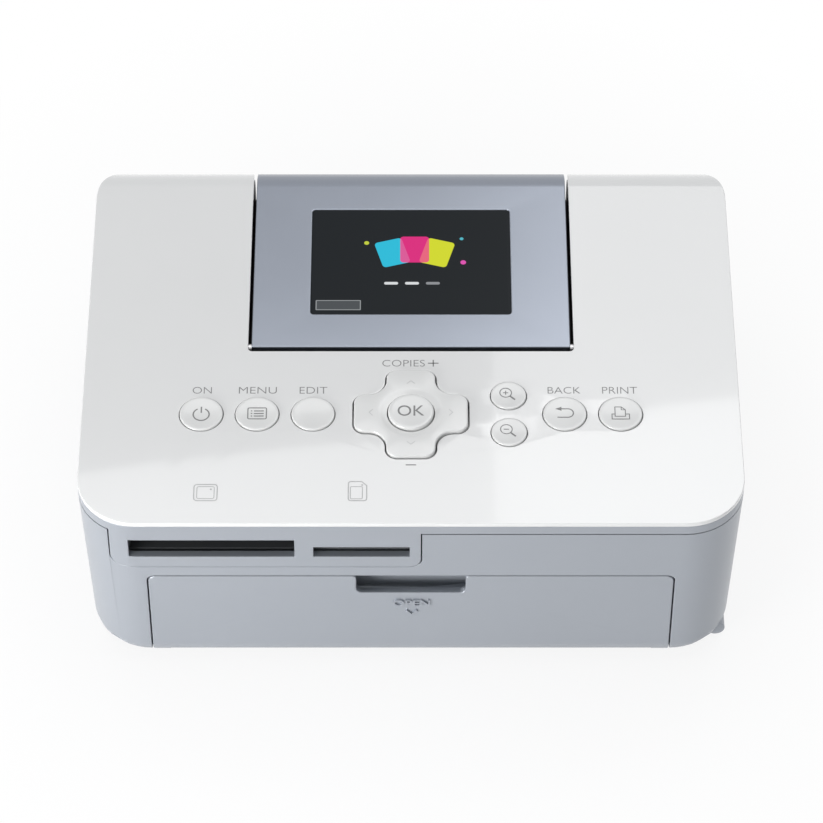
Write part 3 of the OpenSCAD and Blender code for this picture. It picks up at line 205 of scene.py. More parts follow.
def moulded_skin_group():
    """Fine orange peel with slow tone changes, for moulded and sprayed plastic."""
    group = bpy.data.node_groups.new("moulded_skin", "ShaderNodeTree")
    socket(group, "Vector", "NodeSocketVector", "INPUT")
    socket(group, "Grain size mm", "NodeSocketFloat", "INPUT", 0.3)
    socket(group, "Roughness", "NodeSocketFloat", "INPUT", 0.3)
    socket(group, "Smudge", "NodeSocketFloat", "INPUT", 0.05)
    socket(group, "Height", "NodeSocketFloat", "OUTPUT")
    socket(group, "Roughness", "NodeSocketFloat", "OUTPUT")
    socket(group, "Tone", "NodeSocketFloat", "OUTPUT")
    nodes, links = group.nodes, group.links
    inside, out = nodes.new("NodeGroupInput"), nodes.new("NodeGroupOutput")
    scale = link_math(group, "DIVIDE", 1000.0, inside.outputs["Grain size mm"])
    fine = nodes.new("ShaderNodeTexNoise")
    fine.inputs["Detail"].default_value = 2.0
    links.new(inside.outputs["Vector"], fine.inputs["Vector"])
    links.new(scale, fine.inputs["Scale"])
    slow = nodes.new("ShaderNodeTexNoise")
    slow.inputs["Scale"].default_value = 22.0
    slow.inputs["Detail"].default_value = 4.0
    slow.inputs["Roughness"].default_value = 0.6
    links.new(inside.outputs["Vector"], slow.inputs["Vector"])
    centred = link_math(group, "SUBTRACT", slow.outputs[0], 0.5)
    change = link_math(group, "MULTIPLY", centred, inside.outputs["Smudge"])
    links.new(link_math(group, "ADD", inside.outputs["Roughness"], change), out.inputs["Roughness"])
    links.new(fine.outputs[0], out.inputs["Height"])
    links.new(slow.outputs[0], out.inputs["Tone"])
    return group


def drawn_metal_group():
    """Long fine streaks along X, for rolled sheet, shafts and turned pieces."""
    group = bpy.data.node_groups.new("drawn_metal", "ShaderNodeTree")
    socket(group, "Vector", "NodeSocketVector", "INPUT")
    socket(group, "Streak size mm", "NodeSocketFloat", "INPUT", 0.2)
    socket(group, "Roughness", "NodeSocketFloat", "INPUT", 0.3)
    socket(group, "Height", "NodeSocketFloat", "OUTPUT")
    socket(group, "Roughness", "NodeSocketFloat", "OUTPUT")
    socket(group, "Tone", "NodeSocketFloat", "OUTPUT")
    nodes, links = group.nodes, group.links
    inside, out = nodes.new("NodeGroupInput"), nodes.new("NodeGroupOutput")
    stretch = nodes.new("ShaderNodeMapping")
    stretch.inputs["Scale"].default_value = (0.04, 1.0, 1.0)
    links.new(inside.outputs["Vector"], stretch.inputs["Vector"])
    streak = nodes.new("ShaderNodeTexNoise")
    streak.inputs["Detail"].default_value = 3.0
    links.new(stretch.outputs[0], streak.inputs["Vector"])
    links.new(link_math(group, "DIVIDE", 1000.0, inside.outputs["Streak size mm"]), streak.inputs["Scale"])
    stain = nodes.new("ShaderNodeTexNoise")
    stain.inputs["Scale"].default_value = 60.0
    links.new(inside.outputs["Vector"], stain.inputs["Vector"])
    spread = link_math(group, "MULTIPLY", link_math(group, "SUBTRACT", streak.outputs[0], 0.5), 0.3)
    links.new(link_math(group, "ADD", inside.outputs["Roughness"], spread), out.inputs["Roughness"])
    links.new(streak.outputs[0], out.inputs["Height"])
    links.new(stain.outputs[0], out.inputs["Tone"])
    return group


SKIN, DRAWN = moulded_skin_group(), drawn_metal_group()


def finish(name, group, colour, other, rough, size, depth, settings=None, smudge=0.05):
    """A material: the group varies its roughness, bump and tone between two colours."""
    material = bpy.data.materials.new(name)
    material.use_nodes = True
    tree = material.node_tree
    shader = tree.nodes["Principled BSDF"]
    where = tree.nodes.new("ShaderNodeTexCoord")
    detail = tree.nodes.new("ShaderNodeGroup")
    detail.node_tree = group
    detail.inputs[1].default_value = size
    detail.inputs["Roughness"].default_value = rough
    if group is SKIN:
        detail.inputs["Smudge"].default_value = smudge
    tree.links.new(where.outputs["Object"], detail.inputs["Vector"])
    tone = tree.nodes.new("ShaderNodeMix")
    tone.data_type = "RGBA"
    tone.inputs["A"].default_value = (*colour, 1)
    tone.inputs["B"].default_value = (*other, 1)
    tree.links.new(detail.outputs["Tone"], tone.inputs["Factor"])
    tree.links.new(tone.outputs["Result"], shader.inputs["Base Color"])
    tree.links.new(detail.outputs["Roughness"], shader.inputs["Roughness"])
    bump = tree.nodes.new("ShaderNodeBump")
    bump.inputs["Strength"].default_value = 1.0
    bump.inputs["Distance"].default_value = depth * MM
    tree.links.new(detail.outputs["Height"], bump.inputs["Height"])
    tree.links.new(bump.outputs[0], shader.inputs["Normal"])
    for key, value in (settings or {}).items():
        shader.inputs[key].default_value = value
    return material


def grey(v):
    return (v, v, v)


# Each finish: group, two tones, roughness, grain or streak size and depth in mm, shader settings
FINISH = {
    "white_gloss": finish("white_gloss", SKIN, (0.68, 0.68, 0.675), (0.71, 0.71, 0.705), 0.13, 1.1, 0.0012,
                          {"Coat Weight": 1.0, "Coat Roughness": 0.03, "Coat IOR": 1.62}),
    "key_white": finish("key_white", SKIN, (0.68, 0.68, 0.67), (0.71, 0.71, 0.70), 0.2, 0.9, 0.0015,
                        {"Coat Weight": 0.5, "Coat Roughness": 0.06}),
    "silver_plastic": finish("silver_plastic", SKIN, (0.315, 0.336, 0.37), (0.34, 0.361, 0.395),
                             0.34, 0.16, 0.0015,
                             {"Metallic": 0.35, "Coat Weight": 0.15, "Coat Roughness": 0.15}),
    "screen_silver": finish("screen_silver", SKIN, (0.235, 0.257, 0.3), (0.255, 0.277, 0.322),
                            0.2, 0.14, 0.0018,
                            {"Metallic": 0.85, "Coat Weight": 0.1, "Coat Roughness": 0.2}),
    "dark_plastic": finish("dark_plastic", SKIN, grey(0.012), grey(0.02), 0.45, 0.35, 0.004),
    "grey_plastic": finish("grey_plastic", SKIN, (0.10, 0.105, 0.11), (0.13, 0.135, 0.14), 0.42, 0.35, 0.005),
    "slot_plastic": finish("slot_plastic", SKIN, (0.045, 0.048, 0.05), (0.06, 0.064, 0.067), 0.4, 0.3, 0.003),
    "slot_grey": finish("slot_grey", SKIN, (0.16, 0.168, 0.175), (0.18, 0.188, 0.195), 0.4, 0.3, 0.003),
    "rubber_dark": finish("rubber_dark", SKIN, grey(0.02), grey(0.035), 0.7, 0.25, 0.008),
    "rubber_grey": finish("rubber_grey", SKIN, grey(0.38), grey(0.44), 0.5, 0.3, 0.003,
                          {"Subsurface Weight": 0.15, "Subsurface Scale": 0.001}),
    "nylon": finish("nylon", SKIN, (0.72, 0.69, 0.6), (0.76, 0.73, 0.64), 0.4, 0.25, 0.003),
    "board_green": finish("board_green", SKIN, (0.012, 0.10, 0.035), (0.02, 0.13, 0.05), 0.28, 0.5, 0.004),
    "ceramic": finish("ceramic", SKIN, (0.7, 0.7, 0.67), (0.76, 0.76, 0.73), 0.15, 0.4, 0.001),
    "film": finish("film", SKIN, (0.42, 0.30, 0.03), (0.5, 0.36, 0.05), 0.2, 0.6, 0.002),
    "orange_plastic": finish("orange_plastic", SKIN, (0.75, 0.22, 0.03), (0.8, 0.26, 0.04), 0.38, 0.3, 0.003),
    "steel": finish("steel", DRAWN, (0.50, 0.50, 0.51), (0.56, 0.56, 0.57), 0.32, 0.12, 0.0015,
                    {"Metallic": 1.0}),
    "aluminium": finish("aluminium", DRAWN, (0.66, 0.67, 0.69), (0.72, 0.73, 0.75), 0.36, 0.15, 0.002,
                        {"Metallic": 1.0}),
    "brass": finish("brass", DRAWN, (0.72, 0.50, 0.2), (0.78, 0.56, 0.24), 0.28, 0.1, 0.001,
                    {"Metallic": 1.0}),
    "print_grey": finish("print_grey", SKIN, grey(0.17), grey(0.20), 0.4, 0.2, 0.0005),
    "print_pale": finish("print_pale", SKIN, grey(0.36), grey(0.40), 0.4, 0.2, 0.0005),
    "print_faint": finish("print_faint", SKIN, grey(0.46), grey(0.50), 0.4, 0.2, 0.0005),
}


# Width in mm over which a shape on the screen fades out
SOFT_EDGE = 0.12


def rounded_card_group():
    """Mask of a tilted rounded card on the screen, from a place in metres and sizes in mm."""
    group = bpy.data.node_groups.new("rounded_card", "ShaderNodeTree")
    socket(group, "Vector", "NodeSocketVector", "INPUT")
    socket(group, "Middle", "NodeSocketVector", "INPUT")
    socket(group, "Half size", "NodeSocketVector", "INPUT")
    socket(group, "Corner", "NodeSocketFloat", "INPUT", 0.5)
    socket(group, "Tilt", "NodeSocketFloat", "INPUT", 0.0)
    socket(group, "Mask", "NodeSocketFloat", "OUTPUT")
    nodes, links = group.nodes, group.links
    inside, out = nodes.new("NodeGroupInput"), nodes.new("NodeGroupOutput")

    def vector(kind, a, b=None):
        node = nodes.new("ShaderNodeVectorMath")
        node.operation = kind
        for slot_in, value in zip(node.inputs, (a, b)):
            if isinstance(value, tuple):
                slot_in.default_value = value
            elif value is not None:
                links.new(value, slot_in)
        return node

    in_mm = vector("MULTIPLY", inside.outputs["Vector"], (1000.0, 1000.0, 0.0)).outputs[0]
    from_middle = vector("SUBTRACT", in_mm, inside.outputs["Middle"]).outputs[0]
    tilted = nodes.new("ShaderNodeVectorRotate")
    tilted.rotation_type = "Z_AXIS"
    links.new(from_middle, tilted.inputs["Vector"])
    links.new(inside.outputs["Tilt"], tilted.inputs["Angle"])
    folded = vector("ABSOLUTE", tilted.outputs[0]).outputs[0]
    corner = nodes.new("ShaderNodeCombineXYZ")
    links.new(inside.outputs["Corner"], corner.inputs["X"])
    links.new(inside.outputs["Corner"], corner.inputs["Y"])
    inner = vector("SUBTRACT", inside.outputs["Half size"], corner.outputs[0]).outputs[0]
    past = vector("SUBTRACT", folded, inner).outputs[0]
    outside = vector("MAXIMUM", past, (0.0, 0.0, 0.0)).outputs[0]
    length = vector("LENGTH", outside).outputs["Value"]
    gap = link_math(group, "SUBTRACT", inside.outputs["Corner"], length)
    ramp = link_math(group, "DIVIDE", gap, SOFT_EDGE)
    clamp = nodes.new("ShaderNodeClamp")
    links.new(ramp, clamp.inputs["Value"])
    links.new(clamp.outputs[0], out.inputs["Mask"])
    return group


# A plain start picture: three tilted photo cards, a row of loading marks and an empty badge.
# Each shape: middle, half size and corner radius in mm, tilt in degrees, colour, cover
SCREEN_SHAPES = (
    ((-5.2, 30.3), (4.0, 4.9), 1.1, -16, (0.02, 0.62, 0.86), 0.92),
    ((7.3, 30.3), (4.0, 4.9), 1.1, 16, (0.80, 0.86, 0.02), 0.92),
    ((1.05, 31.5), (4.1, 5.0), 1.1, 0, (0.96, 0.02, 0.27), 0.84),
    ((-12.4, 34.0), (0.75, 0.75), 0.74, 0, (0.70, 0.80, 0.05), 0.9),
    ((14.2, 35.6), (0.6, 0.6), 0.59, 0, (0.10, 0.60, 0.72), 0.9),
    ((14.6, 26.6), (0.85, 0.85), 0.84, 0, (0.95, 0.10, 0.55), 0.9),
    ((-5.5, 18.7), (2.0, 0.55), 0.54, 0, (0.80, 0.82, 0.84), 1.0),
    ((0.3, 18.7), (2.0, 0.55), 0.54, 0, (0.80, 0.82, 0.84), 1.0),
    ((6.1, 18.7), (2.0, 0.55), 0.54, 0, (0.30, 0.31, 0.33), 1.0),
    ((-20.1, 10.5), (6.3, 1.9), 0.3, 0, (0.36, 0.38, 0.39), 1.0),
    ((-20.1, 10.5), (6.05, 1.65), 0.2, 0, (0.075, 0.083, 0.09), 1.0),
)


SCREEN_BLACK, GLASS_BLACK = (0.004, 0.006, 0.008, 1), (0.006, 0.007, 0.008, 1)
SCREEN_GLOW, GLASS_GLOSS = 0.85, 0.08


def screen_picture():
    """Black glass with the lit picture behind it."""
    material = bpy.data.materials.new("screen_picture")
    material.use_nodes = True
    tree = material.node_tree
    shader = tree.nodes["Principled BSDF"]
    where = tree.nodes.new("ShaderNodeTexCoord")
    card = rounded_card_group()
    colour = None
    for middle, half, corner, tilt, tint, cover in SCREEN_SHAPES:
        shape = tree.nodes.new("ShaderNodeGroup")
        shape.node_tree = card
        shape.inputs["Middle"].default_value = (*middle, 0)
        shape.inputs["Half size"].default_value = (*half, 0)
        shape.inputs["Corner"].default_value = corner
        shape.inputs["Tilt"].default_value = math.radians(tilt)
        tree.links.new(where.outputs["Object"], shape.inputs["Vector"])
        layer = tree.nodes.new("ShaderNodeMix")
        layer.data_type = "RGBA"
        tree.links.new(link_math(tree, "MULTIPLY", shape.outputs[0], cover), layer.inputs["Factor"])
        layer.inputs["B"].default_value = (*tint, 1)
        if colour:
            tree.links.new(colour, layer.inputs["A"])
        else:
            layer.inputs["A"].default_value = SCREEN_BLACK
        colour = layer.outputs["Result"]
    tree.links.new(colour, shader.inputs["Emission Color"])
    shader.inputs["Emission Strength"].default_value = SCREEN_GLOW
    skin = tree.nodes.new("ShaderNodeGroup")
    skin.node_tree = SKIN
    skin.inputs["Grain size mm"].default_value = 0.8
    skin.inputs["Roughness"].default_value = 0.24
    tree.links.new(where.outputs["Object"], skin.inputs["Vector"])
    tree.links.new(skin.outputs["Roughness"], shader.inputs["Roughness"])
    shader.inputs["Base Color"].default_value = GLASS_BLACK
    shader.inputs["Specular IOR Level"].default_value = GLASS_GLOSS
    return material


SLOT_OF = {s["node"]: s["material_slot"] for s in frame["record"]["subparts"]}
# Nodes whose finish isn't the one named like their material slot
NODE_FINISH = {"large_card_slot": "slot_plastic", "small_card_slot": "slot_grey",
               "screen_window": "dark_plastic", "screen_module": "dark_plastic"}


def finish_of(node):
    return FINISH[NODE_FINISH.get(node, SLOT_OF[node])]


for node, thing in cad.items():
    thing.data.materials.clear()
    thing.data.materials.append(finish_of(node))


# ---------- mesh helpers, all in mm ----------

# Angles in degrees: edges sharper than these stay sharp in the shading
SHARP_ANGLE, CAP_SHARP_ANGLE, PAD_SHARP_ANGLE = 35, 40, 30
ROLLED_SHARP_ANGLE = 40
# Edges of a node sharper than this are rolled over
ROLL_CREASE = 28
# Points of a node closer than MERGE are joined; a point is on a height or circle within TOUCH
MERGE, TOUCH = 0.003, 0.001
# Points of a turned form or a letter closer than this are joined
SEAM = 0.0001
# Marks lie this far over the face that carries them, and are this thick
PRINT_LIFT, INK_THICK = 0.02, 0.02


def lay(name, bm, body, material, smooth=SHARP_ANGLE, stands_for=()):
    """Puts a mesh made in mm into the scene, in place, and lets it ride on its body."""
    bmesh.ops.recalc_face_normals(bm, faces=bm.faces)
    bmesh.ops.scale(bm, vec=(MM, MM, MM), verts=bm.verts)
    mesh = bpy.data.meshes.new(name)
    bm.to_mesh(mesh)
    bm.free()
    mesh.shade_smooth()
    mesh.set_sharp_from_angle(angle=math.radians(smooth))
    mesh.materials.append(material)
    piece = bpy.data.objects.new(name, mesh)
    scene.collection.objects.link(piece)
    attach(piece, body)
    if stands_for:
        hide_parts(*stands_for)
    return piece


def softened(node, name, width, segments=2, in_front_of=None):
    """The node's own form with its loose triangles joined and its sharp edges rolled over.
    With in_front_of, only the edges in front of that Y are rolled over."""
    bm = bmesh.new()
    bm.from_mesh(cad[node].data)
    bmesh.ops.scale(bm, vec=(1 / MM, 1 / MM, 1 / MM), verts=bm.verts)
    bmesh.ops.remove_doubles(bm, verts=bm.verts, dist=MERGE)
    sharp = [e for e in bm.edges
             if len(e.link_faces) == 2 and e.calc_face_angle(0) > math.radians(ROLL_CREASE)
             and (in_front_of is None or all(v.co.y < in_front_of for v in e.verts))]
    bmesh.ops.bevel(bm, geom=sharp, offset=width, offset_type="OFFSET", affect="EDGES",
                    segments=segments, profile=0.5, material=-1, clamp_overlap=False, loop_slide=False)
    piece = lay(name, bm, body_of[node], finish_of(node), ROLLED_SHARP_ANGLE, (node,))
    even_light = piece.modifiers.new("even_light", "WEIGHTED_NORMAL")
    even_light.keep_sharp = True
    return piece


# ---------- casing ----------

# The door's finger pocket, behind this Y, keeps its plain edges
POCKET_FRONT_Y = -66.6

softened("top_plate", "white_cover", 0.22, 3)
softened("upper_frame", "silver_rim", 0.16)
softened("main_case", "silver_case", 0.2)
softened("front_door", "paper_door", 0.3, 3, in_front_of=POCKET_FRONT_Y)
softened("ink_cover", "ink_door", 0.14)
softened("screen_bezel", "screen_frame", 0.3, 3)
softened("screen_well", "screen_recess", 0.1, 1)
softened("bottom_plate", "base_plate", 0.2)
softened("rubber_feet", "foot_pads", 0.4, 3)


# ---------- keys ----------

# Hidden flange round a cap: how far it stands out, and its height
KEY_FLANGE, KEY_FLANGE_H = 1.05, 1.3
# Rolled edge and hollow of a round cap, and of the OK key
CAP_EDGE, CAP_DISH = 0.32, 0.24
OK_EDGE, OK_DISH = 0.5, 0.16
# Four-way key: half length and half width of its arms, rounds at their ends and between them
ARM_REACH, ARM_HALF, ARM_END_R, ARM_FILLET_R = 15.4, 6.6, 3.0, 5.0
# Its hidden flange, the flange's height, and the rolled edge
ARM_FLANGE, ARM_FLANGE_H, ARM_EDGE = 1.4, 1.1, 0.45
# Dished ring round the OK key, and the bore that the OK key stands in
DISH_R, OK_BORE_R = 8.9, 6.5
ROUND_KEYS = ("power_key", "menu_key", "edit_key", "zoom_in_key", "zoom_out_key", "back_key", "print_key")


def size_of(node):
    """Lowest and highest corner of a CAD node in mm."""
    lo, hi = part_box(node)
    return lo / MM, hi / MM


def turned(bm, profile, at, steps=96):
    """Spins a profile of (radius, height) points about the upright axis through at."""
    chain = [bm.verts.new((at[0] + r, at[1], z)) for r, z in profile]
    edges = [bm.edges.new(pair) for pair in zip(chain, chain[1:])]
    bmesh.ops.spin(bm, geom=chain + edges, cent=(*at, 0), axis=(0, 0, 1), angle=math.tau,
                   steps=steps, use_merge=True)
    bmesh.ops.remove_doubles(bm, verts=bm.verts, dist=SEAM)


def rolled_edge(outer, top, radius, steps=5):
    """Quarter round from the side at outer up to the top face."""
    turns = [math.pi / 2 * i / steps for i in range(steps + 1)]
    return [(outer - radius + radius * math.cos(a), top - radius + radius * math.sin(a)) for a in turns]


def bowl(rim, top, depth, steps=8):
    """Shallow round hollow (or a dome, for a negative depth) from its rim to the middle."""
    shares = [1 - i / steps for i in range(1, steps + 1)]
    return [(rim * s, top - depth * (1 - s * s)) for s in shares]


class Cap:
    """Middle, radius, top and hollow of a round key, and the height of its face at a point."""

    def __init__(self, node, edge=CAP_EDGE, dish=CAP_DISH):
        self.node, self.edge, self.dish = node, edge, dish
        self.lo, self.hi = size_of(node)
        self.at = ((self.lo.x + self.hi.x) / 2, (self.lo.y + self.hi.y) / 2)
        self.flange = (self.hi.x - self.lo.x) / 2
        self.radius = self.flange - KEY_FLANGE
        self.rim = self.radius - edge

    def height(self, x, y):
        share = min(1.0, math.hypot(x - self.at[0], y - self.at[1]) / self.rim)
        return self.hi.z - self.dish * (1 - share * share) + PRINT_LIFT

    def make(self):
        flange_top = self.lo.z + KEY_FLANGE_H
        profile = [(0, self.lo.z), (self.flange, self.lo.z)]
        profile += [(self.flange, flange_top), (self.radius, flange_top)]
        profile += rolled_edge(self.radius, self.hi.z, self.edge)
        profile += bowl(self.rim, self.hi.z, self.dish)
        bm = bmesh.new()
        turned(bm, profile, self.at)
        lay(self.node + "_cap", bm, body_of[self.node], FINISH["key_white"], CAP_SHARP_ANGLE, (self.node,))


def plus_loop(bm, grow, z):
    """Closed run of edges round the four-way key, grown sideways by grow."""
    reach, half = ARM_REACH + grow, ARM_HALF + grow
    arm = [(reach, -half), (reach, half), (half, half)]
    corners = []
    for quarter in range(4):
        turn = Matrix.Rotation(quarter * math.pi / 2, 2)
        corners += [bm.verts.new((*(turn @ Vector(p) + Vector((0, KEY_ROW)).xy), z)) for p in arm]
    face = bm.faces.new(corners)
    for between, radius in ((False, ARM_END_R + grow), (True, ARM_FILLET_R - grow)):
        round_off = [v for i, v in enumerate(corners) if (i % 3 == 2) is between]
        bmesh.ops.bevel(bm, geom=round_off, offset=radius, offset_type="OFFSET", affect="VERTICES",
                        segments=8, profile=0.5, material=-1)
        face = next(f for f in bm.faces if len(f.verts) > 12 and abs(f.verts[0].co.z - z) < TOUCH)
    edges = list(face.edges)
    bmesh.ops.delete(bm, geom=[face], context="FACES_ONLY")
    return edges


def bridge(bm, first, second):
    """Closes the gap between two runs of edges with faces."""
    bmesh.ops.bridge_loops(bm, edges=first + second)


def border(bm, z, radius):
    """The open run of edges that lies at height z, radius mm from the key's middle."""
    middle = Vector((0, KEY_ROW, z))
    return [e for e in bm.edges if e.is_boundary
            and all(abs((v.co - middle).length - radius) < TOUCH for v in e.verts)]


def make_four_way_key():
    """Plus-shaped key with rolled edges and a dished ring round the OK key."""
    lo, hi = size_of("four_way_key")
    flange_top = lo.z + ARM_FLANGE_H
    bm = bmesh.new()
    steps = [(ARM_FLANGE, lo.z), (ARM_FLANGE, flange_top), (0, flange_top)] + rolled_edge(0, hi.z, ARM_EDGE)
    loops = [plus_loop(bm, grow, z) for grow, z in steps]
    for below, above in zip(loops, loops[1:]):
        bridge(bm, below, above)
    slope = [(0, 0), (0.5, 0.03), (1.0, 0.14), (1.5, 0.26), (2.0, 0.33)]
    dish = [(DISH_R - inward, hi.z - deep) for inward, deep in slope]
    dish += [(OK_BORE_R + 0.12, hi.z - 0.35), (OK_BORE_R, hi.z - 0.45), (OK_BORE_R, lo.z)]
    turned(bm, dish, (0, KEY_ROW))
    bridge(bm, loops[-1], border(bm, hi.z, DISH_R))
    bridge(bm, loops[0], border(bm, lo.z, OK_BORE_R))
    lay("four_way_pad", bm, "four_way_key", FINISH["key_white"], PAD_SHARP_ANGLE, ("four_way_key",))


CAPS = {node: Cap(node) for node in ROUND_KEYS}
CAPS["ok_key"] = Cap("ok_key", OK_EDGE, OK_DISH)
KEY_ROW = CAPS["power_key"].at[1]
for cap in CAPS.values():
    cap.make()
make_four_way_key()


# ---------- printed marks ----------

# Letter weights for words()
THIN, REGULAR, BOLD = -0.012, 0.0, 0.012
LETTER_H = 2.35
# How far behind the plate's front edge each row of words and marks lies
LABEL_ROW, COPIES_ROW, MINUS_ROW = 46.6, 56.4, 20.2
WIDE_CARD_ROW, NARROW_CARD_ROW = 10.6, 11.1
# Widths of drawn lines
LINE, THIN_LINE, FINE_LINE = 0.36, 0.26, 0.2


def stroke(bm, points, width, height, closed=False):
    """Flat ribbon along points, its corners mitred, at the height that the function gives."""
    path = [Vector(p) for p in points]
    count = len(path)
    rails = []
    for i, here in enumerate(path):
        before = path[i - 1] if closed or i else here
        after = path[(i + 1) % count] if closed or i < count - 1 else here
        ways = [(b - a).normalized() for a, b in ((before, here), (here, after)) if (b - a).length > 1e-6]
        along = sum(ways, Vector((0, 0))).normalized()
        side = Vector((-along.y, along.x))
        reach = width / 2 / max(0.5, side.dot(Vector((-ways[0].y, ways[0].x))))
        pair = (here + side * reach, here - side * reach)
        rails.append([bm.verts.new((p.x, p.y, height(p.x, p.y))) for p in pair])
    ends = rails[1:] + rails[:1] if closed else rails[1:]
    for a, b in zip(rails, ends):
        bm.faces.new((a[0], a[1], b[1], b[0]))


def patch(bm, points, height):
    """Filled flat shape."""
    bm.faces.new([bm.verts.new((x, y, height(x, y))) for x, y in points])


def arc(centre, radius, start, end, steps=20):
    """Points on an arc, angles in degrees."""
    angles = [math.radians(start + (end - start) * i / steps) for i in range(steps + 1)]
    return [(centre[0] + radius * math.cos(a), centre[1] + radius * math.sin(a)) for a in angles]


def ring(centre, radius, steps=32):
    return arc(centre, radius, 0, 360, steps)[:-1]


def rounded_box(centre, width, depth, radius):
    """Points round a box with round corners."""
    x, y = width / 2 - radius, depth / 2 - radius
    corners = ((x, y, 0), (-x, y, 90), (-x, -y, 180), (x, -y, 270))
    return [p for cx, cy, a in corners for p in arc((centre[0] + cx, centre[1] + cy), radius, a, a + 90, 4)]


def shifted(points, at):
    return [(x + at[0], y + at[1]) for x, y in points]


def printed(name, bm, body, ink="print_grey"):
    """Turns flat marks into a thin closed layer of ink."""
    bmesh.ops.recalc_face_normals(bm, faces=bm.faces)
    bmesh.ops.solidify(bm, geom=bm.faces[:], thickness=INK_THICK)
    lay(name, bm, body, FINISH[ink])


def words(bm, text, centre, width, tall, height, weight=THIN):
    """Adds flat letters to bm, stretched to a width and a capital height.
    The weight moves their outline outwards, as a share of the letters' own size."""
    curve = bpy.data.curves.new(text, "FONT")
    curve.body = text
    curve.size = 1.0
    curve.offset = weight
    curve.resolution_u = 6
    made = bpy.data.objects.new(text, curve)
    scene.collection.objects.link(made)
    mesh = bpy.data.meshes.new_from_object(made.evaluated_get(bpy.context.evaluated_depsgraph_get()))
    bpy.data.objects.remove(made)
    xs = [v.co.x for v in mesh.vertices]
    ys = [v.co.y for v in mesh.vertices]
    part = bmesh.new()
    part.from_mesh(mesh)
    for v in part.verts:
        x = centre[0] + ((v.co.x - min(xs)) / (max(xs) - min(xs)) - 0.5) * width
        y = centre[1] + ((v.co.y - min(ys)) / (max(ys) - min(ys)) - 0.5) * tall
        v.co = (x, y, height(x, y))
    bmesh.ops.remove_doubles(part, verts=part.verts, dist=SEAM)
    fresh = bpy.data.meshes.new(text)
    part.to_mesh(fresh)
    part.free()
    bm.from_mesh(fresh)
    bpy.data.meshes.remove(fresh)
    bpy.data.meshes.remove(mesh)


PLATE_TOP = size_of("top_plate")[1].z
FRONT_Y = size_of("top_plate")[0].y


def on_plate(x, y):
    """Height of the marks on the white cover."""
    return PLATE_TOP + PRINT_LIFT


def print_plate_words():
    """Words over the keys: plain names of what each key does."""
    bm = bmesh.new()
    for node, text, width in (("power_key", "ON", 5.2), ("menu_key", "MENU", 10.3), ("edit_key", "EDIT", 7.5),
                              ("back_key", "BACK", 8.9), ("print_key", "PRINT", 9.5)):
        words(bm, text, (CAPS[node].at[0], FRONT_Y + LABEL_ROW), width, LETTER_H, on_plate)
    words(bm, "COPIES", (-2.0, FRONT_Y + COPIES_ROW), 11.6, LETTER_H, on_plate)
    plus, minus = (6.1, FRONT_Y + COPIES_ROW), (0, FRONT_Y + MINUS_ROW)
    for bar in ([(-1.45, 0), (1.45, 0)], [(0, -1.2), (0, 1.2)]):
        stroke(bm, shifted(bar, plus), LINE, on_plate)
    stroke(bm, shifted([(-1.4, 0), (1.4, 0)], minus), LINE, on_plate)
    printed("key_words", bm, "casing")


def print_card_marks():
    """Pale outlines of a wide and a narrow memory card over the two slots."""
    bm = bmesh.new()
    wide, narrow = (-54.6, FRONT_Y + WIDE_CARD_ROW), (-14.2, FRONT_Y + NARROW_CARD_ROW)
    stroke(bm, rounded_box(wide, 6.2, 5.6, 0.9), THIN_LINE, on_plate, closed=True)
    stroke(bm, rounded_box(wide, 4.6, 4.1, 0.5), FINE_LINE, on_plate, closed=True)
    patch(bm, shifted(ring((1.4, 1.1), 0.28, 12), wide), on_plate)
    card = rounded_box(narrow, 4.9, 6.6, 0.7)
    cut_corner = shifted([(2.45, 1.9), (1.1, 3.3)], narrow)
    stroke(bm, cut_corner + card[5:], THIN_LINE, on_plate, closed=True)
    stroke(bm, shifted(rounded_box((-0.3, -0.55), 3.2, 4.2, 0.35), narrow), FINE_LINE, on_plate, closed=True)
    patch(bm, shifted(ring((1.25, 2.1), 0.25, 12), narrow), on_plate)
    printed("card_marks", bm, "casing", "print_pale")


def key_print(node, draw):
    """One key's mark, drawn round the key's middle and laid on its hollow face."""
    cap = CAPS[node]
    bm = bmesh.new()
    draw(bm, cap)
    printed(node + "_mark", bm, body_of[node])


def power_mark(bm, cap):
    """Open ring with an upright bar in its gap."""
    for points in (arc((0, -0.25), 2.15, 118, 422, 36), [(0, 0.35), (0, 1.3), (0, 2.45)]):
        stroke(bm, shifted(points, cap.at), 0.38, cap.height)


def menu_mark(bm, cap):
    """Framed list of three lines, each with a dot."""
    stroke(bm, shifted(rounded_box((0, 0.1), 5.0, 3.9, 0.35), cap.at), 0.3, cap.height, closed=True)
    for y in (-0.8, 0.1, 1.0):
        stroke(bm, shifted([(-1.7, y), (-1.3, y)], cap.at), LINE, cap.height)
        stroke(bm, shifted([(-0.9, y), (0.5, y), (1.8, y)], cap.at), LINE, cap.height)


def lens_mark(bm, cap, plus):
    """Magnifying glass with a minus or a plus in it."""
    lens_r, lens, handle = 1.58, (-0.75, 1.0), (1.75, -1.5)
    slope = lens_r / math.sqrt(2)
    start = (lens[0] + slope, lens[1] - slope)
    stroke(bm, shifted(ring(lens, lens_r), cap.at), 0.28, cap.height, closed=True)
    stroke(bm, shifted([start, handle], cap.at), 0.46, cap.height)
    for bar in ([(-0.7, 0), (0.7, 0)], [(0, -0.7), (0, 0.7)])[:1 + plus]:
        stroke(bm, shifted(shifted(bar, lens), cap.at), THIN_LINE, cap.height)


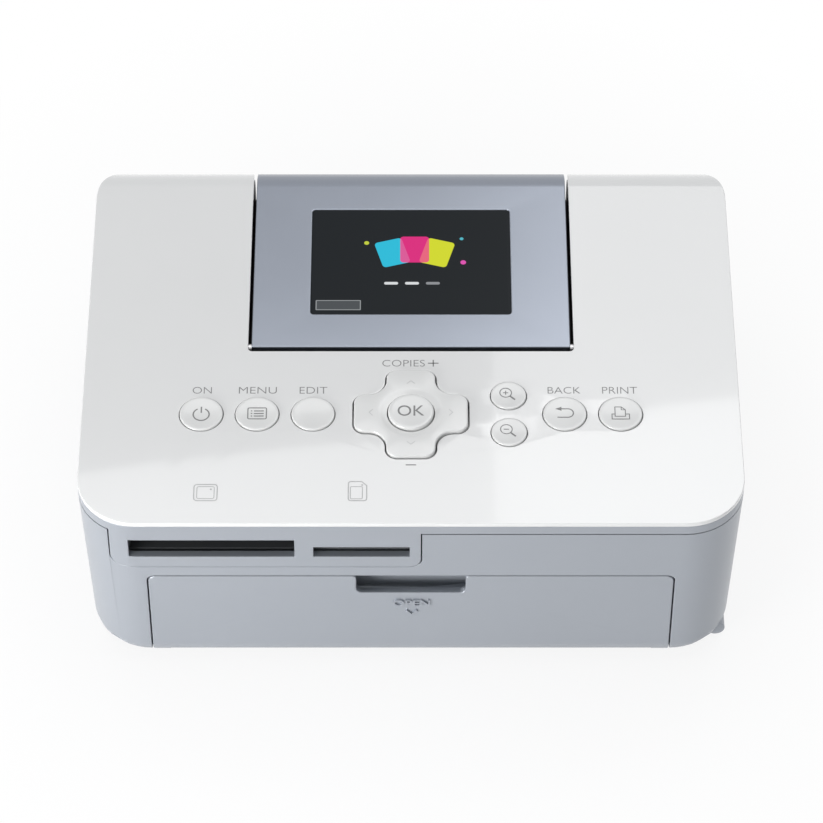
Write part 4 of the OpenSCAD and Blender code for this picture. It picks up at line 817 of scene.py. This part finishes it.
def back_mark(bm, cap):
    """Arrow that turns back to the left."""
    bend = arc((0.85, 0.25), 1.5, 90, -90, 16)
    shaft = [(-0.9, 1.75), (0, 1.75)] + bend + [(-0.6, -1.25), (-2.0, -1.25)]
    stroke(bm, shifted(shaft, cap.at), 0.34, cap.height)
    patch(bm, shifted([(-2.5, 1.75), (-0.85, 1.05), (-0.85, 2.45)], cap.at), cap.height)


def print_mark(bm, cap):
    """Sheet with a folded corner, over a tray."""
    sheet = [(-1.5, -0.9), (-1.5, 2.4), (0.2, 2.4), (1.3, 1.4), (1.3, -0.9)]
    fold = [(0.2, 2.35), (0.2, 1.4), (1.25, 1.4)]
    tray = [(-1.5, -0.1), (-2.35, -0.1), (-2.35, -1.9), (2.35, -1.9), (2.35, -0.1), (1.3, -0.1)]
    stroke(bm, shifted(sheet, cap.at), THIN_LINE, cap.height, closed=True)
    stroke(bm, shifted(fold, cap.at), FINE_LINE, cap.height)
    stroke(bm, shifted(tray, cap.at), THIN_LINE, cap.height)


def ok_mark(bm, cap):
    """The two letters on the middle key."""
    words(bm, "OK", (cap.at[0], cap.at[1] + 0.2), 7.2, 3.7, cap.height, REGULAR)


def print_arrows():
    """Faint chevrons on the four arms."""
    top = size_of("four_way_key")[1].z + PRINT_LIFT
    bm = bmesh.new()
    for quarter in range(4):
        turn = Matrix.Rotation(quarter * math.pi / 2, 2)
        tip = [turn @ Vector(p) + Vector((0, KEY_ROW)) for p in ((10.3, 1.1), (11.3, 0), (10.3, -1.1))]
        stroke(bm, tip, FINE_LINE, lambda x, y: top)
    printed("arm_marks", bm, "four_way_key", "print_faint")


# The door's face leans out by this much for each mm further down
DOOR_LEAN = 0.6 / 54.2
# The raised word: its middle, how far it stands out of the face and reaches into it
DOOR_WORD_X, WORD_RELIEF, WORD_SUNK = 0.16, 0.5, 0.3


def flat(x, y):
    """Height of marks that are drawn flat first and stood up afterwards."""
    return 0.0


def emboss_door_word():
    """The word OPEN and a chevron, raised from the front door under the finger notch."""
    lo, hi = size_of("front_door")
    bm = bmesh.new()
    words(bm, "OPEN", (DOOR_WORD_X, 26.5), 10.0, 2.6, flat, BOLD)
    stroke(bm, shifted([(-1.51, 23.1), (0, 21.3), (1.51, 23.1)], (DOOR_WORD_X, 0)), 0.62, flat)
    bmesh.ops.recalc_face_normals(bm, faces=bm.faces)
    bmesh.ops.solidify(bm, geom=bm.faces[:], thickness=WORD_RELIEF + WORD_SUNK)
    low = min(v.co.z for v in bm.verts)
    for v in bm.verts:
        across, up, out = v.co.x, v.co.y, v.co.z - low
        v.co = (across, lo.y + DOOR_LEAN * (hi.z - up) + WORD_SUNK - out, up)
    lay("door_word", bm, "front_door", FINISH["silver_plastic"])


emboss_door_word()
print_plate_words()
print_card_marks()
key_print("power_key", power_mark)
key_print("menu_key", menu_mark)
key_print("zoom_in_key", lambda bm, cap: lens_mark(bm, cap, True))
key_print("zoom_out_key", lambda bm, cap: lens_mark(bm, cap, False))
key_print("back_key", back_mark)
key_print("print_key", print_mark)
key_print("ok_key", ok_mark)
print_arrows()


# ---------- head springs ----------

# Coil and wire radius, turns of a coil and steps round it
SPRING_R, WIRE_R, SPRING_TURNS, SPRING_STEPS = 2.4, 0.36, 6.5, 156


def make_head_springs():
    """Two wound wire springs between the deck and the head arm."""
    lo, hi = size_of("head_springs")
    y = (lo.y + hi.y) / 2
    climb = (hi.z - lo.z - 2 * WIRE_R) / SPRING_STEPS
    upright = Matrix.Rotation(math.pi / 2, 4, "X")
    bm = bmesh.new()
    for x in (lo.x + SPRING_R, hi.x - SPRING_R):
        stand = Matrix.Translation((x + SPRING_R - WIRE_R, y, lo.z + WIRE_R)) @ upright
        wire = bmesh.ops.create_circle(bm, segments=10, radius=WIRE_R, matrix=stand)["verts"]
        edges = list({e for v in wire for e in v.link_edges})
        bmesh.ops.spin(bm, geom=wire + edges, cent=(x, y, 0), axis=(0, 0, 1), dvec=(0, 0, climb),
                       angle=SPRING_TURNS * math.tau, steps=SPRING_STEPS, use_merge=False)
    bmesh.ops.holes_fill(bm, edges=[e for e in bm.edges if e.is_boundary], sides=0)
    coils = lay("coil_springs", bm, "casing", FINISH["steel"], CAP_SHARP_ANGLE, ("head_springs",))
    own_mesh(coils)


make_head_springs()


# ---------- screen ----------

def make_screen_glass():
    """The screen's pane, with the lit picture as its finish."""
    glass = softened("screen_window", "screen_glass", 0.12)
    glass.data.materials.clear()
    glass.data.materials.append(screen_picture())


make_screen_glass()
